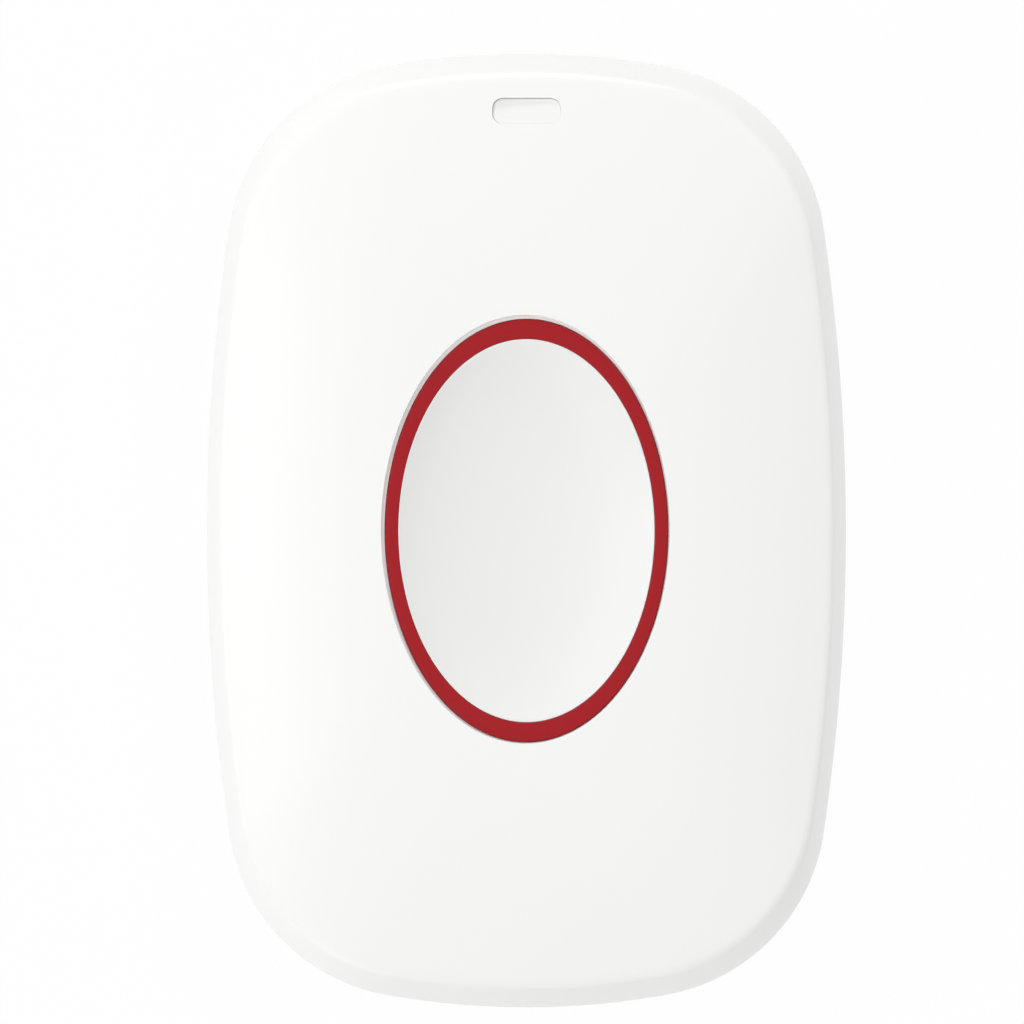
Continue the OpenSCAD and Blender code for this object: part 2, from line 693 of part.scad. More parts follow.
clip_w = 4.5;
clip_foot = 1.8;
module battery_positive_clip() {
    leg_x = holder_r + snug;
    low_z = cell_low_z - clip_t;
    half = [[leg_x, cell_low_z], [leg_x, board_low_z], [leg_x + clip_t + clip_foot, board_low_z],
        [leg_x + clip_t + clip_foot, board_low_z - clip_t], [leg_x + clip_t, board_low_z - clip_t],
        [leg_x + clip_t, low_z]];
    color([0.83, 0.82, 0.76]) translate([0, -cell_y + clip_w / 2, 0]) rotate([90, 0, 0])
        linear_extrude(clip_w)
            polygon(concat(half, [for (i = [len(half) - 1 : -1 : 0]) [-half[i].x, half[i].y]]));
}

leaf_t = 0.2;
leaf_r = 4;
leaf_arm_l = 16;
leaf_arm_w = 2.5;
module battery_negative_contact() {
    color([0.83, 0.82, 0.76]) translate([0, -cell_y, cell_top_z + contact_space - snug - leaf_t]) {
        cylinder(r = leaf_r, h = leaf_t);
        translate([-leaf_arm_l / 2, -leaf_arm_w / 2, 0]) cube([leaf_arm_l, leaf_arm_w, leaf_t]);
    }
}

lens_l = 2;
lamp_base_h = 0.5;
module status_lamp() {
    color([0.9, 0.9, 0.85]) translate([0, lamp_y, board_top_z]) {
        translate([-lamp_l / 2, -lamp_w / 2, 0]) cube([lamp_l, lamp_w, lamp_base_h]);
        translate([-lens_l / 2, -lamp_w / 2, 0]) cube([lens_l, lamp_w, lamp_h]);
    }
}

// Chips on the back of the board, above the battery
chip_w = 6;
chip_h = 0.9;
chip_end = 16.3;
chip_y = board_half_h - chip_end;
crystal_l = 3.2;
crystal_w = 2.5;
crystal_h = 0.8;
crystal_x = 6.5;
module radio_chip() {
    color([0.1, 0.1, 0.11]) translate([-chip_w / 2, chip_y - chip_w / 2, board_low_z - chip_h])
        cube([chip_w, chip_w, chip_h]);
}

module radio_crystal() {
    color([0.78, 0.78, 0.76]) translate([crystal_x - crystal_l / 2, chip_y - crystal_w / 2,
        board_low_z - crystal_h]) cube([crystal_l, crystal_w, crystal_h]);
}

// The aerial lies along X above the board, with a straight leg down at each end
module antenna_coil() {
    r = (antenna_d - antenna_wire) / 2;
    turns = 7.5;
    lift = antenna_d / 2 + antenna_wire / 2;
    antenna_y = lamp_y - lamp_w / 2 - antenna_gap - antenna_d / 2;
    coil = coil_rings(r, antenna_wire / 2, antenna_l - antenna_wire, turns, 90);
    leg_a = wire_ring([lift, r, 0], [-lift, 0, 0], [0, r, 0], antenna_wire / 2);
    leg_b = wire_ring([lift, -r, antenna_l - antenna_wire], [lift, 0, 0], [0, -r, 0], antenna_wire / 2);
    color([0.75, 0.5, 0.3])
        translate([-(antenna_l - antenna_wire) / 2, antenna_y, board_top_z + lift]) rotate([0, 90, 0])
            loft(concat([leg_a], coil, [leg_b]));
}

// Rows of chip parts, each a body between two plated ends
part_l = 1.6;
part_w = 0.8;
part_h = 0.6;
part_pitch = 1.3;
part_row_gap = 2.2;
part_screw_gap = 0.7;
capacitor_count = 6;
resistor_count = 5;
// The row starts beside the board screw's head and runs towards the middle
module part_row(count) {
    start_x = board_screw_x - screw_head_r - part_screw_gap - part_w;
    for (i = [0 : count - 1])
        translate([start_x - i * part_pitch, chip_y + chip_w / 2 + part_row_gap, board_low_z - part_h])
            cube([part_w, part_l, part_h]);
}

module small_capacitors() {
    color([0.72, 0.6, 0.42]) mirror([1, 0, 0]) part_row(capacitor_count);
}

module small_resistors() {
    color([0.15, 0.15, 0.16]) part_row(resistor_count);
}

front_cover();
back_cover();
button_cap();
button_ring();
button_springs();
light_pipe();
circuit_board();
board_screws();
switch_housing();
switch_dome();
switch_plunger();
switch_cover();
switch_terminals();
battery_holder();
coin_cell();
battery_positive_clip();
battery_negative_contact();
status_lamp();
radio_chip();
radio_crystal();
antenna_coil();
small_capacitors();
small_resistors();
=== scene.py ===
import math

import bmesh
import bpy
from mathutils import Matrix, Vector


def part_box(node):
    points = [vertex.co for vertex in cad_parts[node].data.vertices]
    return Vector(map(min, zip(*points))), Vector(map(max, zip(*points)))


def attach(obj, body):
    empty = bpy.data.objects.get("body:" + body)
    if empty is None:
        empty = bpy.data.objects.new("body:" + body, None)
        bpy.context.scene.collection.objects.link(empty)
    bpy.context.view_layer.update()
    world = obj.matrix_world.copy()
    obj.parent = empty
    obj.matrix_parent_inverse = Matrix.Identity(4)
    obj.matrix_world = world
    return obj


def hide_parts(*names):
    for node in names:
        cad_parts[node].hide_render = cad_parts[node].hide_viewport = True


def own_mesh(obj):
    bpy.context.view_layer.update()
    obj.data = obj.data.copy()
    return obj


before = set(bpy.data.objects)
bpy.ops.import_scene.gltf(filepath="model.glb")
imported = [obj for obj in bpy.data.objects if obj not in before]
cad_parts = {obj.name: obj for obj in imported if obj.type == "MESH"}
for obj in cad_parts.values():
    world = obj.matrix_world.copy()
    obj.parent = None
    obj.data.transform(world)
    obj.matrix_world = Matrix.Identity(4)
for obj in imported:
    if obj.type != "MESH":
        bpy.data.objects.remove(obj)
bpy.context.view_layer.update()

mm = 0.001


# Back cover
# The flat half of the case, moulded in white plastic. Two screws hold it to the wall, and its
# tongue and four hooks carry the front cover.

half_w, half_h = 25 * mm, 37.3 * mm
side_curve_r, end_curve_r, corner_r = 162 * mm, 61.4 * mm, 15.1 * mm
parting_z, parting_gap = 6.5 * mm, 0.1 * mm
front_wall, back_wall = 1.6 * mm, 1.8 * mm
back_tuck, rim_step, back_edge = 1.25 * mm, 0.1 * mm, 1.5 * mm
tongue_h, tongue_t, tongue_gap = 1.2 * mm, 1 * mm, 0.1 * mm
tray_fillet = 0.5 * mm
rim_round = 0.16 * mm
side_steps, corner_steps, end_steps = 24, 40, 24


def meeting_point(a, radius_a, b, radius_b):
    """The point at radius_a from a and radius_b from b, on the outer side."""
    d = (b - a).length
    u = (b - a) / d
    t = (radius_a ** 2 - radius_b ** 2 + d * d) / (2 * d)
    return a + t * u + math.sqrt(radius_a ** 2 - t * t) * Vector((-u.y, u.x))


def arc(centre, radius, start, end, steps):
    turns = [start + (end - start) * i / steps for i in range(steps)]
    return [centre + radius * Vector((math.cos(t), math.sin(t))) for t in turns]


side_c = Vector((half_w - side_curve_r, 0))
end_c = Vector((0, half_h - end_curve_r))
corner_c = meeting_point(side_c, side_curve_r - corner_r, end_c, end_curve_r - corner_r)
side_turn = math.atan2(corner_c.y, corner_c.x - side_c.x)
end_turn = math.atan2(corner_c.y - end_c.y, corner_c.x)
quarter = (arc(side_c, side_curve_r, 0, side_turn, side_steps)
           + arc(corner_c, corner_r, side_turn, end_turn, corner_steps)
           + arc(end_c, end_curve_r, end_turn, math.pi / 2, end_steps))
upper = quarter + [Vector((0, half_h))] + [Vector((-p.x, p.y)) for p in reversed(quarter[1:])]
outline = upper + [-p for p in upper]


def outline_ring(share, inset, z):
    """The case's outline, drawn in to a share of its size and then by a wall."""
    return [Vector((p.x * (share - inset / half_w), p.y * (share - inset / half_h), z)) for p in outline]


def bend(a, b, c, steps):
    """Points of a curve that leaves a towards b and arrives at c."""
    a, b, c = Vector(a), Vector(b), Vector(c)
    return [a.lerp(b, i / steps).lerp(b.lerp(c, i / steps), i / steps) for i in range(steps + 1)]


def between(a, b, steps):
    return [a + (b - a) * i / steps for i in range(1, steps)]


def loft(rings, closed=False):
    """A mesh skinned over rings that run anticlockwise, closed on itself or with flat ends."""
    n, m = len(rings[0]), len(rings)
    faces = [(k * n + i, k * n + (i + 1) % n, (k + 1) % m * n + (i + 1) % n, (k + 1) % m * n + i)
             for k in range(m if closed else m - 1) for i in range(n)]
    if not closed:
        faces += [tuple(reversed(range(n))), tuple(range((m - 1) * n, m * n))]
    mesh = bpy.data.meshes.new("loft")
    mesh.from_pydata([p for ring in rings for p in ring], [], faces)
    return mesh


def in_scene(name, mesh):
    obj = bpy.data.objects.new(name, mesh)
    bpy.context.scene.collection.objects.link(obj)
    return obj


def smooth(obj, angle=35):
    obj.data.shade_smooth()
    obj.data.set_sharp_from_angle(angle=math.radians(angle))
    return obj


def join(obj, *others):
    """Adds the meshes of other objects to obj and removes them."""
    bm = bmesh.new()
    bm.from_mesh(obj.data)
    for other in others:
        bm.from_mesh(other.data)
        bpy.data.objects.remove(other)
    bm.to_mesh(obj.data)
    bm.free()
    return obj


def baked(obj):
    """Replaces obj's mesh by what its modifiers make of it."""
    graph = bpy.context.evaluated_depsgraph_get()
    mesh = bpy.data.meshes.new_from_object(obj.evaluated_get(graph), depsgraph=graph)
    obj.modifiers.clear()
    obj.data = mesh
    return obj


def cut(obj, *cutters):
    """Takes the cutters out of obj."""
    for cutter in cutters:
        tool = obj.modifiers.new("cut", "BOOLEAN")
        tool.operation, tool.solver, tool.object = "DIFFERENCE", "EXACT", cutter
    baked(obj)
    for cutter in cutters:
        bpy.data.objects.remove(cutter)
    return obj


def lathe(profile, centre=(0, 0), steps=64):
    """A mesh turned about Z from points of radius and height, from the foot up the outside."""
    rings = [[Vector((centre[0] + r * math.cos(t), centre[1] + r * math.sin(t), z))
              for t in (math.tau * i / steps for i in range(steps))] for r, z in profile]
    return loft(rings)


def extruded(points, depth, bevel=0.0):
    """A bar whose section in X and Z is drawn by points, centred on Y."""
    bm = bmesh.new()
    face = bm.faces.new([bm.verts.new((x, -depth / 2, z)) for x, z in points])
    moved = bmesh.ops.extrude_face_region(bm, geom=[face])["geom"]
    bmesh.ops.translate(bm, vec=(0, depth, 0), verts=[v for v in moved if isinstance(v, bmesh.types.BMVert)])
    bmesh.ops.recalc_face_normals(bm, faces=bm.faces)
    if bevel:
        bmesh.ops.bevel(bm, geom=bm.edges, offset=bevel, segments=2, profile=0.5, affect="EDGES")
    mesh = bpy.data.meshes.new("bar")
    bm.to_mesh(mesh)
    bm.free()
    return mesh


def group_sockets(tree, inputs, outputs):
    for name, kind, value in inputs:
        socket = tree.interface.new_socket(name, in_out="INPUT", socket_type=kind)
        if value is not None:
            socket.default_value = value
    for name, kind in outputs:
        tree.interface.new_socket(name, in_out="OUTPUT", socket_type=kind)
    return tree.nodes.new("NodeGroupInput"), tree.nodes.new("NodeGroupOutput")


surface_outputs = [("Colour", "NodeSocketColor"), ("Roughness", "NodeSocketFloat"), ("Normal", "NodeSocketVector")]


def give_surface(link, tone, rough, bump, made):
    """Passes the colour, roughness and relief of a surface out of its group."""
    link(tone.outputs["Result"], made.inputs["Colour"])
    link(rough.outputs["Result"], made.inputs["Roughness"])
    link(bump.outputs["Normal"], made.inputs["Normal"])


def moulded_surface():
    """The surface of a moulded plastic: two near tones in soft patches, and a fine grain from the tool."""
    tree = bpy.data.node_groups.new("moulded_surface", "ShaderNodeTree")
    given, made = group_sockets(
        tree,
        [("Tone", "NodeSocketColor", (1, 1, 1, 1)), ("Second Tone", "NodeSocketColor", (1, 1, 1, 1)),
         ("Patch Scale", "NodeSocketFloat", 60.0), ("Grain Scale", "NodeSocketFloat", 6000.0),
         ("Grain Depth", "NodeSocketFloat", 0.1), ("Smoothest", "NodeSocketFloat", 0.3),
         ("Roughest", "NodeSocketFloat", 0.4)],
        surface_outputs)
    new, link = tree.nodes.new, tree.links.new
    place = new("ShaderNodeTexCoord")
    patches, grain = new("ShaderNodeTexNoise"), new("ShaderNodeTexNoise")
    tone, rough, bump = new("ShaderNodeMix"), new("ShaderNodeMapRange"), new("ShaderNodeBump")
    tone.data_type = "RGBA"
    patches.inputs["Detail"].default_value = 3
    grain.inputs["Detail"].default_value = 2
    bump.inputs["Distance"].default_value = 0.02 * mm
    for noise, scale in ((patches, "Patch Scale"), (grain, "Grain Scale")):
        link(place.outputs["Object"], noise.inputs["Vector"])
        link(given.outputs[scale], noise.inputs["Scale"])
    link(patches.outputs["Fac"], tone.inputs["Factor"])
    link(given.outputs["Tone"], tone.inputs["A"])
    link(given.outputs["Second Tone"], tone.inputs["B"])
    link(grain.outputs["Fac"], rough.inputs["Value"])
    link(given.outputs["Smoothest"], rough.inputs["To Min"])
    link(given.outputs["Roughest"], rough.inputs["To Max"])
    link(given.outputs["Grain Depth"], bump.inputs["Strength"])
    link(grain.outputs["Fac"], bump.inputs["Height"])
    give_surface(link, tone, rough, bump, made)
    return tree


moulded = moulded_surface()


def surface_material(name, group, **values):
    """A material whose surface comes from a group; the values are the group's sockets."""
    material = bpy.data.materials.new(name)
    material.use_nodes = True
    nodes, links = material.node_tree.nodes, material.node_tree.links
    shader = nodes["Principled BSDF"]
    surface = nodes.new("ShaderNodeGroup")
    surface.node_tree = group
    for socket, value in values.items():
        surface.inputs[socket.replace("_", " ")].default_value = value
    for made, taken in (("Colour", "Base Color"), ("Roughness", "Roughness"), ("Normal", "Normal")):
        links.new(surface.outputs[made], shader.inputs[taken])
    return material, shader


case_white, case_shader = surface_material(
    "case_white", moulded, Tone=(0.93, 0.93, 0.925, 1), Second_Tone=(0.94, 0.94, 0.93, 1),
    Patch_Scale=60.0, Grain_Scale=5000.0, Grain_Depth=0.08, Smoothest=0.34, Roughest=0.42)
case_shader.inputs["Specular IOR Level"].default_value = 0.4


def piece(name, mesh, material, body, slot, *replaced, angle=35):
    """Puts a finished mesh in the scene, on its body, for the nodes that it replaces."""
    obj = mesh if isinstance(mesh, bpy.types.Object) else in_scene(name, mesh)
    obj.name = name
    obj.data.name = name
    obj.data.materials.clear()
    obj.data.materials.append(material)
    smooth(obj, angle)
    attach(obj, body)
    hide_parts(*replaced)
    return obj


back_rim_z = parting_z - parting_gap
tongue_top_z = parting_z + tongue_h
tray_inset = front_wall + tongue_gap + tongue_t


def back_share(z):
    return 1 - (rim_step + (back_tuck - rim_step) * (1 - z / back_rim_z) ** 2) / half_w


def back_profile():
    """Share of the outline and height, from the flat back up to the rim."""
    edge = bend((back_share(0) - back_edge / half_w, 0), (back_share(0), 0), (back_share(back_edge), back_edge), 12)
    round_z = back_rim_z - rim_round
    wall = [Vector((back_share(z), z)) for z in between(back_edge, round_z, 10)]
    rim = bend((back_share(round_z), round_z), (back_share(back_rim_z), back_rim_z),
               (back_share(back_rim_z) - rim_round / half_w, back_rim_z), 4)
    return edge + wall + rim


tongue_out, edge = front_wall + tongue_gap, 0.15 * mm
back_rings = [outline_ring(q.x, 0, q.y) for q in back_profile()]
back_rings += [outline_ring(1, tongue_out, back_rim_z), outline_ring(1, tongue_out, tongue_top_z - edge)]
back_rings += [outline_ring(1, tongue_out + edge, tongue_top_z), outline_ring(1, tray_inset - edge, tongue_top_z)]
back_rings += [outline_ring(1, tray_inset, tongue_top_z - edge)]
back_rings += [outline_ring(1, q.x, q.y) for q in bend(
    (tray_inset, back_wall + tray_fillet), (tray_inset, back_wall), (tray_inset + tray_fillet, back_wall), 5)]
back_cover = in_scene("back_cover_shell", loft(back_rings))

wall_screw_y, wall_screw_r, hole_chamfer = 29 * mm, 2.1 * mm, 0.2 * mm
wall_boss_r, wall_boss_h, overrun = 4.6 * mm, 1 * mm, 0.5 * mm
notch_w, notch_h, notch_depth = 8 * mm, 0.9 * mm, 0.9 * mm
boss_top_z = back_wall + wall_boss_h
bosses = [in_scene("boss", lathe(
    [(wall_boss_r, back_wall / 2), (wall_boss_r, boss_top_z - edge), (wall_boss_r - edge, boss_top_z)],
    (0, y))) for y in (-wall_screw_y, wall_screw_y)]
holes = [in_scene("hole", lathe(
    [(wall_screw_r + hole_chamfer + overrun, -overrun), (wall_screw_r, hole_chamfer),
     (wall_screw_r, boss_top_z + overrun)], (0, y))) for y in (-wall_screw_y, wall_screw_y)]
notch = in_scene("notch", extruded(
    [(-notch_w / 2, back_rim_z - notch_h), (notch_w / 2, back_rim_z - notch_h),
     (notch_w / 2, back_rim_z + overrun), (-notch_w / 2, back_rim_z + overrun)], 2 * notch_depth))
notch.data.transform(Matrix.Translation((0, -half_h, 0)))
for boss in bosses:
    tool = back_cover.modifiers.new("boss", "BOOLEAN")
    tool.operation, tool.solver, tool.object = "UNION", "EXACT", boss
baked(back_cover)
for boss in bosses:
    bpy.data.objects.remove(boss)
cut(back_cover, *holes, notch)
piece("back_cover_shell", back_cover, case_white, "case", "case_white", "back_cover")


# Snap hooks
# Four hooks of the back cover, moulded with it. They bend inwards over the ledges of the front
# cover and spring out above them.

hook_y, hook_w, hook_t = 13 * mm, 6 * mm, 1 * mm
hook_gap, barb_gap, barb_h = 0.2 * mm, 0.6 * mm, 1.2 * mm
ledge_h, snug, hook_round = 0.6 * mm, 0.05 * mm, 0.08 * mm
hook_inset = tray_inset + hook_gap
barb_reach = hook_inset - front_wall - barb_gap
ledge_low_z = tongue_top_z + 2 * tongue_gap
grip_z = ledge_low_z + ledge_h + snug


def copies_tree():
    """Geometry Nodes that set a copy of a piece on every point, turned about Z by the point's turn."""
    tree = bpy.data.node_groups.new("copies_on_points", "GeometryNodeTree")
    given, made = group_sockets(
        tree,
        [("Places", "NodeSocketGeometry", None), ("Piece", "NodeSocketObject", None),
         ("Material", "NodeSocketMaterial", None)], [("Copies", "NodeSocketGeometry")])
    new, link = tree.nodes.new, tree.links.new
    info, turn = new("GeometryNodeObjectInfo"), new("GeometryNodeInputNamedAttribute")
    spin, copies = new("ShaderNodeCombineXYZ"), new("GeometryNodeInstanceOnPoints")
    real, skin = new("GeometryNodeRealizeInstances"), new("GeometryNodeSetMaterial")
    turn.data_type = "FLOAT"
    turn.inputs["Name"].default_value = "turn"
    link(given.outputs["Piece"], info.inputs["Object"])
    link(given.outputs["Places"], copies.inputs["Points"])
    link(info.outputs["Geometry"], copies.inputs["Instance"])
    link(turn.outputs["Attribute"], spin.inputs["Z"])
    link(spin.outputs["Vector"], copies.inputs["Rotation"])
    link(copies.outputs["Instances"], real.inputs["Geometry"])
    link(real.outputs["Geometry"], skin.inputs["Geometry"])
    link(given.outputs["Material"], skin.inputs["Material"])
    link(skin.outputs["Geometry"], made.inputs["Copies"])
    return tree


copies_on_points = copies_tree()


def run_nodes(obj, tree, **values):
    """Runs a Geometry Nodes tree on obj and keeps what it makes."""
    tool = obj.modifiers.new("nodes", "NODES")
    tool.node_group = tree
    for item in tree.interface.items_tree:
        key = item.name.replace(" ", "_")
        if item.in_out == "INPUT" and key in values:
            tool[item.identifier] = values[key]
    return baked(obj)


def copies(name, one, places, material):
    """One object with a copy of one at each place: x, y, z and a turn about Z."""
    mesh = bpy.data.meshes.new(name)
    mesh.from_pydata([p[:3] for p in places], [], [])
    mesh.attributes.new("turn", "FLOAT", "POINT").data.foreach_set("value", [p[3] for p in places])
    obj = in_scene(name, mesh)
    run_nodes(obj, copies_on_points, Piece=one, Material=material)
    bpy.data.objects.remove(one)
    return obj


hook = in_scene("hook", extruded(
    [(-hook_t, back_wall / 2), (0, back_wall / 2), (0, grip_z), (barb_reach, grip_z),
     (barb_reach, grip_z + barb_h / 4), (0, grip_z + barb_h), (-hook_t, grip_z + barb_h)], hook_w, hook_round))
hook_x = side_c.x + math.sqrt(side_curve_r ** 2 - hook_y ** 2) - hook_inset
hooks = copies("back_cover_hooks", hook, [(hook_x, y, 0, 0) for y in (-hook_y, hook_y)]
               + [(-hook_x, y, 0, math.pi) for y in (-hook_y, hook_y)], case_white)
piece("back_cover_hooks", hooks, case_white, "case", "case_white", "back_cover")


# Circuit board
# A rigid green board with a solder mask over its copper. It hangs in the front cover on four
# screws and carries every electronic part.

cell_gap, clip_t, cell_t = 0.3 * mm, 0.25 * mm, 3.2 * mm
contact_space, holder_base_t, board_t = 0.35 * mm, 0.5 * mm, 1.2 * mm
cell_top_z = back_wall + cell_gap + clip_t + cell_t
board_low_z = cell_top_z + contact_space + holder_base_t
board_top_z = board_low_z + board_t


def board_surface():
    """Solder mask over copper: thin straight tracks and small vias show paler and stand up a little."""
    tree = bpy.data.node_groups.new("board_surface", "ShaderNodeTree")
    given, made = group_sockets(
        tree, [("Mask", "NodeSocketColor", (0, 0, 0, 1)), ("Track", "NodeSocketColor", (0, 0, 0, 1)),
               ("Track Scale", "NodeSocketFloat", 400.0)],
        surface_outputs)
    new, link = tree.nodes.new, tree.links.new
    place, weave = new("ShaderNodeTexCoord"), new("ShaderNodeTexNoise")
    near, next_near = new("ShaderNodeTexVoronoi"), new("ShaderNodeTexVoronoi")
    apart, copper = new("ShaderNodeMath"), new("ShaderNodeMath")
    track, via = new("ShaderNodeMapRange"), new("ShaderNodeMapRange")
    tone, rough, bump = new("ShaderNodeMix"), new("ShaderNodeMapRange"), new("ShaderNodeBump")
    for cells, feature in ((near, "F1"), (next_near, "F2")):
        cells.voronoi_dimensions, cells.distance, cells.feature = "2D", "CHEBYCHEV", feature
        cells.inputs["Randomness"].default_value = 0.4
        link(place.outputs["Object"], cells.inputs["Vector"])
        link(given.outputs["Track Scale"], cells.inputs["Scale"])
    apart.operation, copper.operation, tone.data_type = "SUBTRACT", "MAXIMUM", "RGBA"
    for copper_shape, full, none in ((track, 0.05, 0.08), (via, 0.07, 0.1)):
        copper_shape.inputs["From Min"].default_value, copper_shape.inputs["From Max"].default_value = full, none
        copper_shape.inputs["To Min"].default_value, copper_shape.inputs["To Max"].default_value = 1, 0
    weave.inputs["Scale"].default_value = 3000
    rough.inputs["To Min"].default_value, rough.inputs["To Max"].default_value = 0.2, 0.32
    bump.inputs["Strength"].default_value, bump.inputs["Distance"].default_value = 0.4, 0.03 * mm
    link(place.outputs["Object"], weave.inputs["Vector"])
    link(next_near.outputs["Distance"], apart.inputs[0])
    link(near.outputs["Distance"], apart.inputs[1])
    link(apart.outputs[0], track.inputs["Value"])
    link(near.outputs["Distance"], via.inputs["Value"])
    link(track.outputs["Result"], copper.inputs[0])
    link(via.outputs["Result"], copper.inputs[1])
    link(copper.outputs[0], tone.inputs["Factor"])
    link(given.outputs["Mask"], tone.inputs["A"])
    link(given.outputs["Track"], tone.inputs["B"])
    link(weave.outputs["Fac"], rough.inputs["Value"])
    link(copper.outputs[0], bump.inputs["Height"])
    give_surface(link, tone, rough, bump, made)
    return tree


def dress(node, material):
    """Gives a CAD node its material."""
    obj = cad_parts[node]
    obj.data.materials.clear()
    obj.data.materials.append(material)


board_green, _ = surface_material(
    "board_green", board_surface(), Mask=(0.012, 0.1, 0.04, 1), Track=(0.017, 0.13, 0.049, 1), Track_Scale=240.0)
dress("circuit_board", board_green)


# Screws of the board
# Four zinc plated screws with cross recesses, driven from the back of the board into the
# bosses of the front cover.

def drawn_metal():
    """Metal with fine marks along one direction: uneven tone and gloss, and shallow scratches."""
    tree = bpy.data.node_groups.new("drawn_metal", "ShaderNodeTree")
    given, made = group_sockets(
        tree, [("Bright", "NodeSocketColor", (1, 1, 1, 1)), ("Dull", "NodeSocketColor", (1, 1, 1, 1)),
               ("Along", "NodeSocketVector", (300, 6000, 6000)), ("Smoothest", "NodeSocketFloat", 0.2),
               ("Roughest", "NodeSocketFloat", 0.4)],
        surface_outputs)
    new, link = tree.nodes.new, tree.links.new
    place, stretch, marks = new("ShaderNodeTexCoord"), new("ShaderNodeMapping"), new("ShaderNodeTexNoise")
    tone, rough, bump = new("ShaderNodeMix"), new("ShaderNodeMapRange"), new("ShaderNodeBump")
    tone.data_type = "RGBA"
    marks.inputs["Scale"].default_value, marks.inputs["Detail"].default_value = 1, 3
    bump.inputs["Strength"].default_value, bump.inputs["Distance"].default_value = 0.2, 0.01 * mm
    link(place.outputs["Object"], stretch.inputs["Vector"])
    link(given.outputs["Along"], stretch.inputs["Scale"])
    link(stretch.outputs["Vector"], marks.inputs["Vector"])
    link(marks.outputs["Fac"], tone.inputs["Factor"])
    link(given.outputs["Bright"], tone.inputs["A"])
    link(given.outputs["Dull"], tone.inputs["B"])
    link(marks.outputs["Fac"], rough.inputs["Value"])
    link(given.outputs["Smoothest"], rough.inputs["To Min"])
    link(given.outputs["Roughest"], rough.inputs["To Max"])
    link(marks.outputs["Fac"], bump.inputs["Height"])
    give_surface(link, tone, rough, bump, made)
    return tree


drawn = drawn_metal()


def metal(name, bright, dull, **values):
    material, shader = surface_material(name, drawn, Bright=bright, Dull=dull, **values)
    shader.inputs["Metallic"].default_value = 1
    return material


zinc_steel = metal("zinc_steel", (0.66, 0.66, 0.69, 1), (0.5, 0.5, 0.54, 1))
screw_x, screw_y = 14.5 * mm, 24.5 * mm
screw_r, screw_l, thread_pitch, thread_depth = 0.95 * mm, 5.6 * mm, 0.5 * mm, 0.12 * mm
head_r, head_h, tip_h = 1.9 * mm, 1.3 * mm, 0.8 * mm
cross_w, cross_l, cross_depth = 0.5 * mm, 2.2 * mm, 0.7 * mm
x_twist, y_twist = 0.4, 0.3
head_curve = bend((0.6 * head_r, -head_h), (head_r, -head_h), (head_r, -head_h / 2), 6)
thread = [(screw_r - thread_depth * (k % 2), tip_h / 4 + k * thread_pitch / 2)
          for k in range(int(2 * (screw_l - 1.2 * tip_h) / thread_pitch))]
screw = in_scene("screw", lathe(
    head_curve + [(head_r, 0), (screw_r, 0)] + thread + [(screw_r / 2, screw_l)], steps=40))
screw.data.transform(Matrix.Translation((0, 0, board_low_z)))
arms = [in_scene("arm", extruded(
    [(-cross_l / 2, -head_h - overrun), (cross_l / 2, -head_h - overrun), (cross_w, cross_depth - head_h),
     (-cross_w, cross_depth - head_h)], cross_w)) for _ in range(2)]
arms[1].data.transform(Matrix.Rotation(math.pi / 2, 4, "Z"))
for arm in arms:
    arm.data.transform(Matrix.Translation((0, 0, board_low_z)))
cut(screw, *arms)
screws = copies("screws_of_board", screw, [(x, y, 0, x_twist * x / screw_x + y_twist * y / screw_y)
                                           for x in (-screw_x, screw_x) for y in (-screw_y, screw_y)], zinc_steel)
piece("screws_of_board", screws, zinc_steel, "case", "zinc_steel", "board_screws")


# Push switch
# A 6 mm switch: moulded black base with a round well, snap disc, plunger and a steel cover,
# soldered to the board by four legs.

switch_black, _ = surface_material(
    "black_plastic", moulded, Tone=(0.018, 0.018, 0.02, 1), Second_Tone=(0.026, 0.026, 0.028, 1),
    Patch_Scale=400.0, Grain_Scale=9000.0, Grain_Depth=0.2, Smoothest=0.45, Roughest=0.6)
plunger_plastic, _ = surface_material(
    "plunger_plastic", moulded, Tone=(0.66, 0.65, 0.6, 1), Second_Tone=(0.72, 0.71, 0.66, 1),
    Patch_Scale=500.0, Grain_Scale=9000.0, Grain_Depth=0.1, Smoothest=0.35, Roughest=0.5)
spring_steel = metal("spring_steel", (0.68, 0.68, 0.69, 1), (0.52, 0.52, 0.54, 1), Smoothest=0.18, Roughest=0.32)
tinned_metal = metal("tinned_metal", (0.72, 0.7, 0.64, 1), (0.56, 0.54, 0.48, 1), Smoothest=0.25, Roughest=0.45)
dress("switch_housing", switch_black)
dress("switch_plunger", plunger_plastic)
dress("switch_cover", spring_steel)
dress("switch_terminals", tinned_metal)

dome_low, dome_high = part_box("switch_dome")
dome_r, dome_rise, dome_t, plunger_travel = 2.3 * mm, dome_high.z - dome_low.z, 0.1 * mm, 0.25 * mm
dome_ball_r = (dome_r ** 2 + dome_rise ** 2) / (2 * dome_rise)


def dome_z(r):
    return dome_high.z - dome_ball_r + math.sqrt(dome_ball_r ** 2 - r * r)


dome_radii = [dome_r * i / 12 for i in range(12, 0, -1)]
disc = [(r - dome_t / 3 if k == 0 else r, max(dome_low.z, dome_z(r) - dome_t)) for k, r in enumerate(dome_radii)]
disc = list(reversed(disc)) + [(r, dome_z(r) if k else dome_low.z + dome_t / 2) for k, r in enumerate(dome_radii)]
snap_disc = piece("snap_disc", lathe(disc, steps=48), spring_steel, "case", "spring_steel", "switch_dome")
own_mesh(snap_disc)


# Coin cell and its holder
# A 20 mm lithium cell in a moulded tray under the board. A bent strip presses on its case and a
# leaf on its cap.

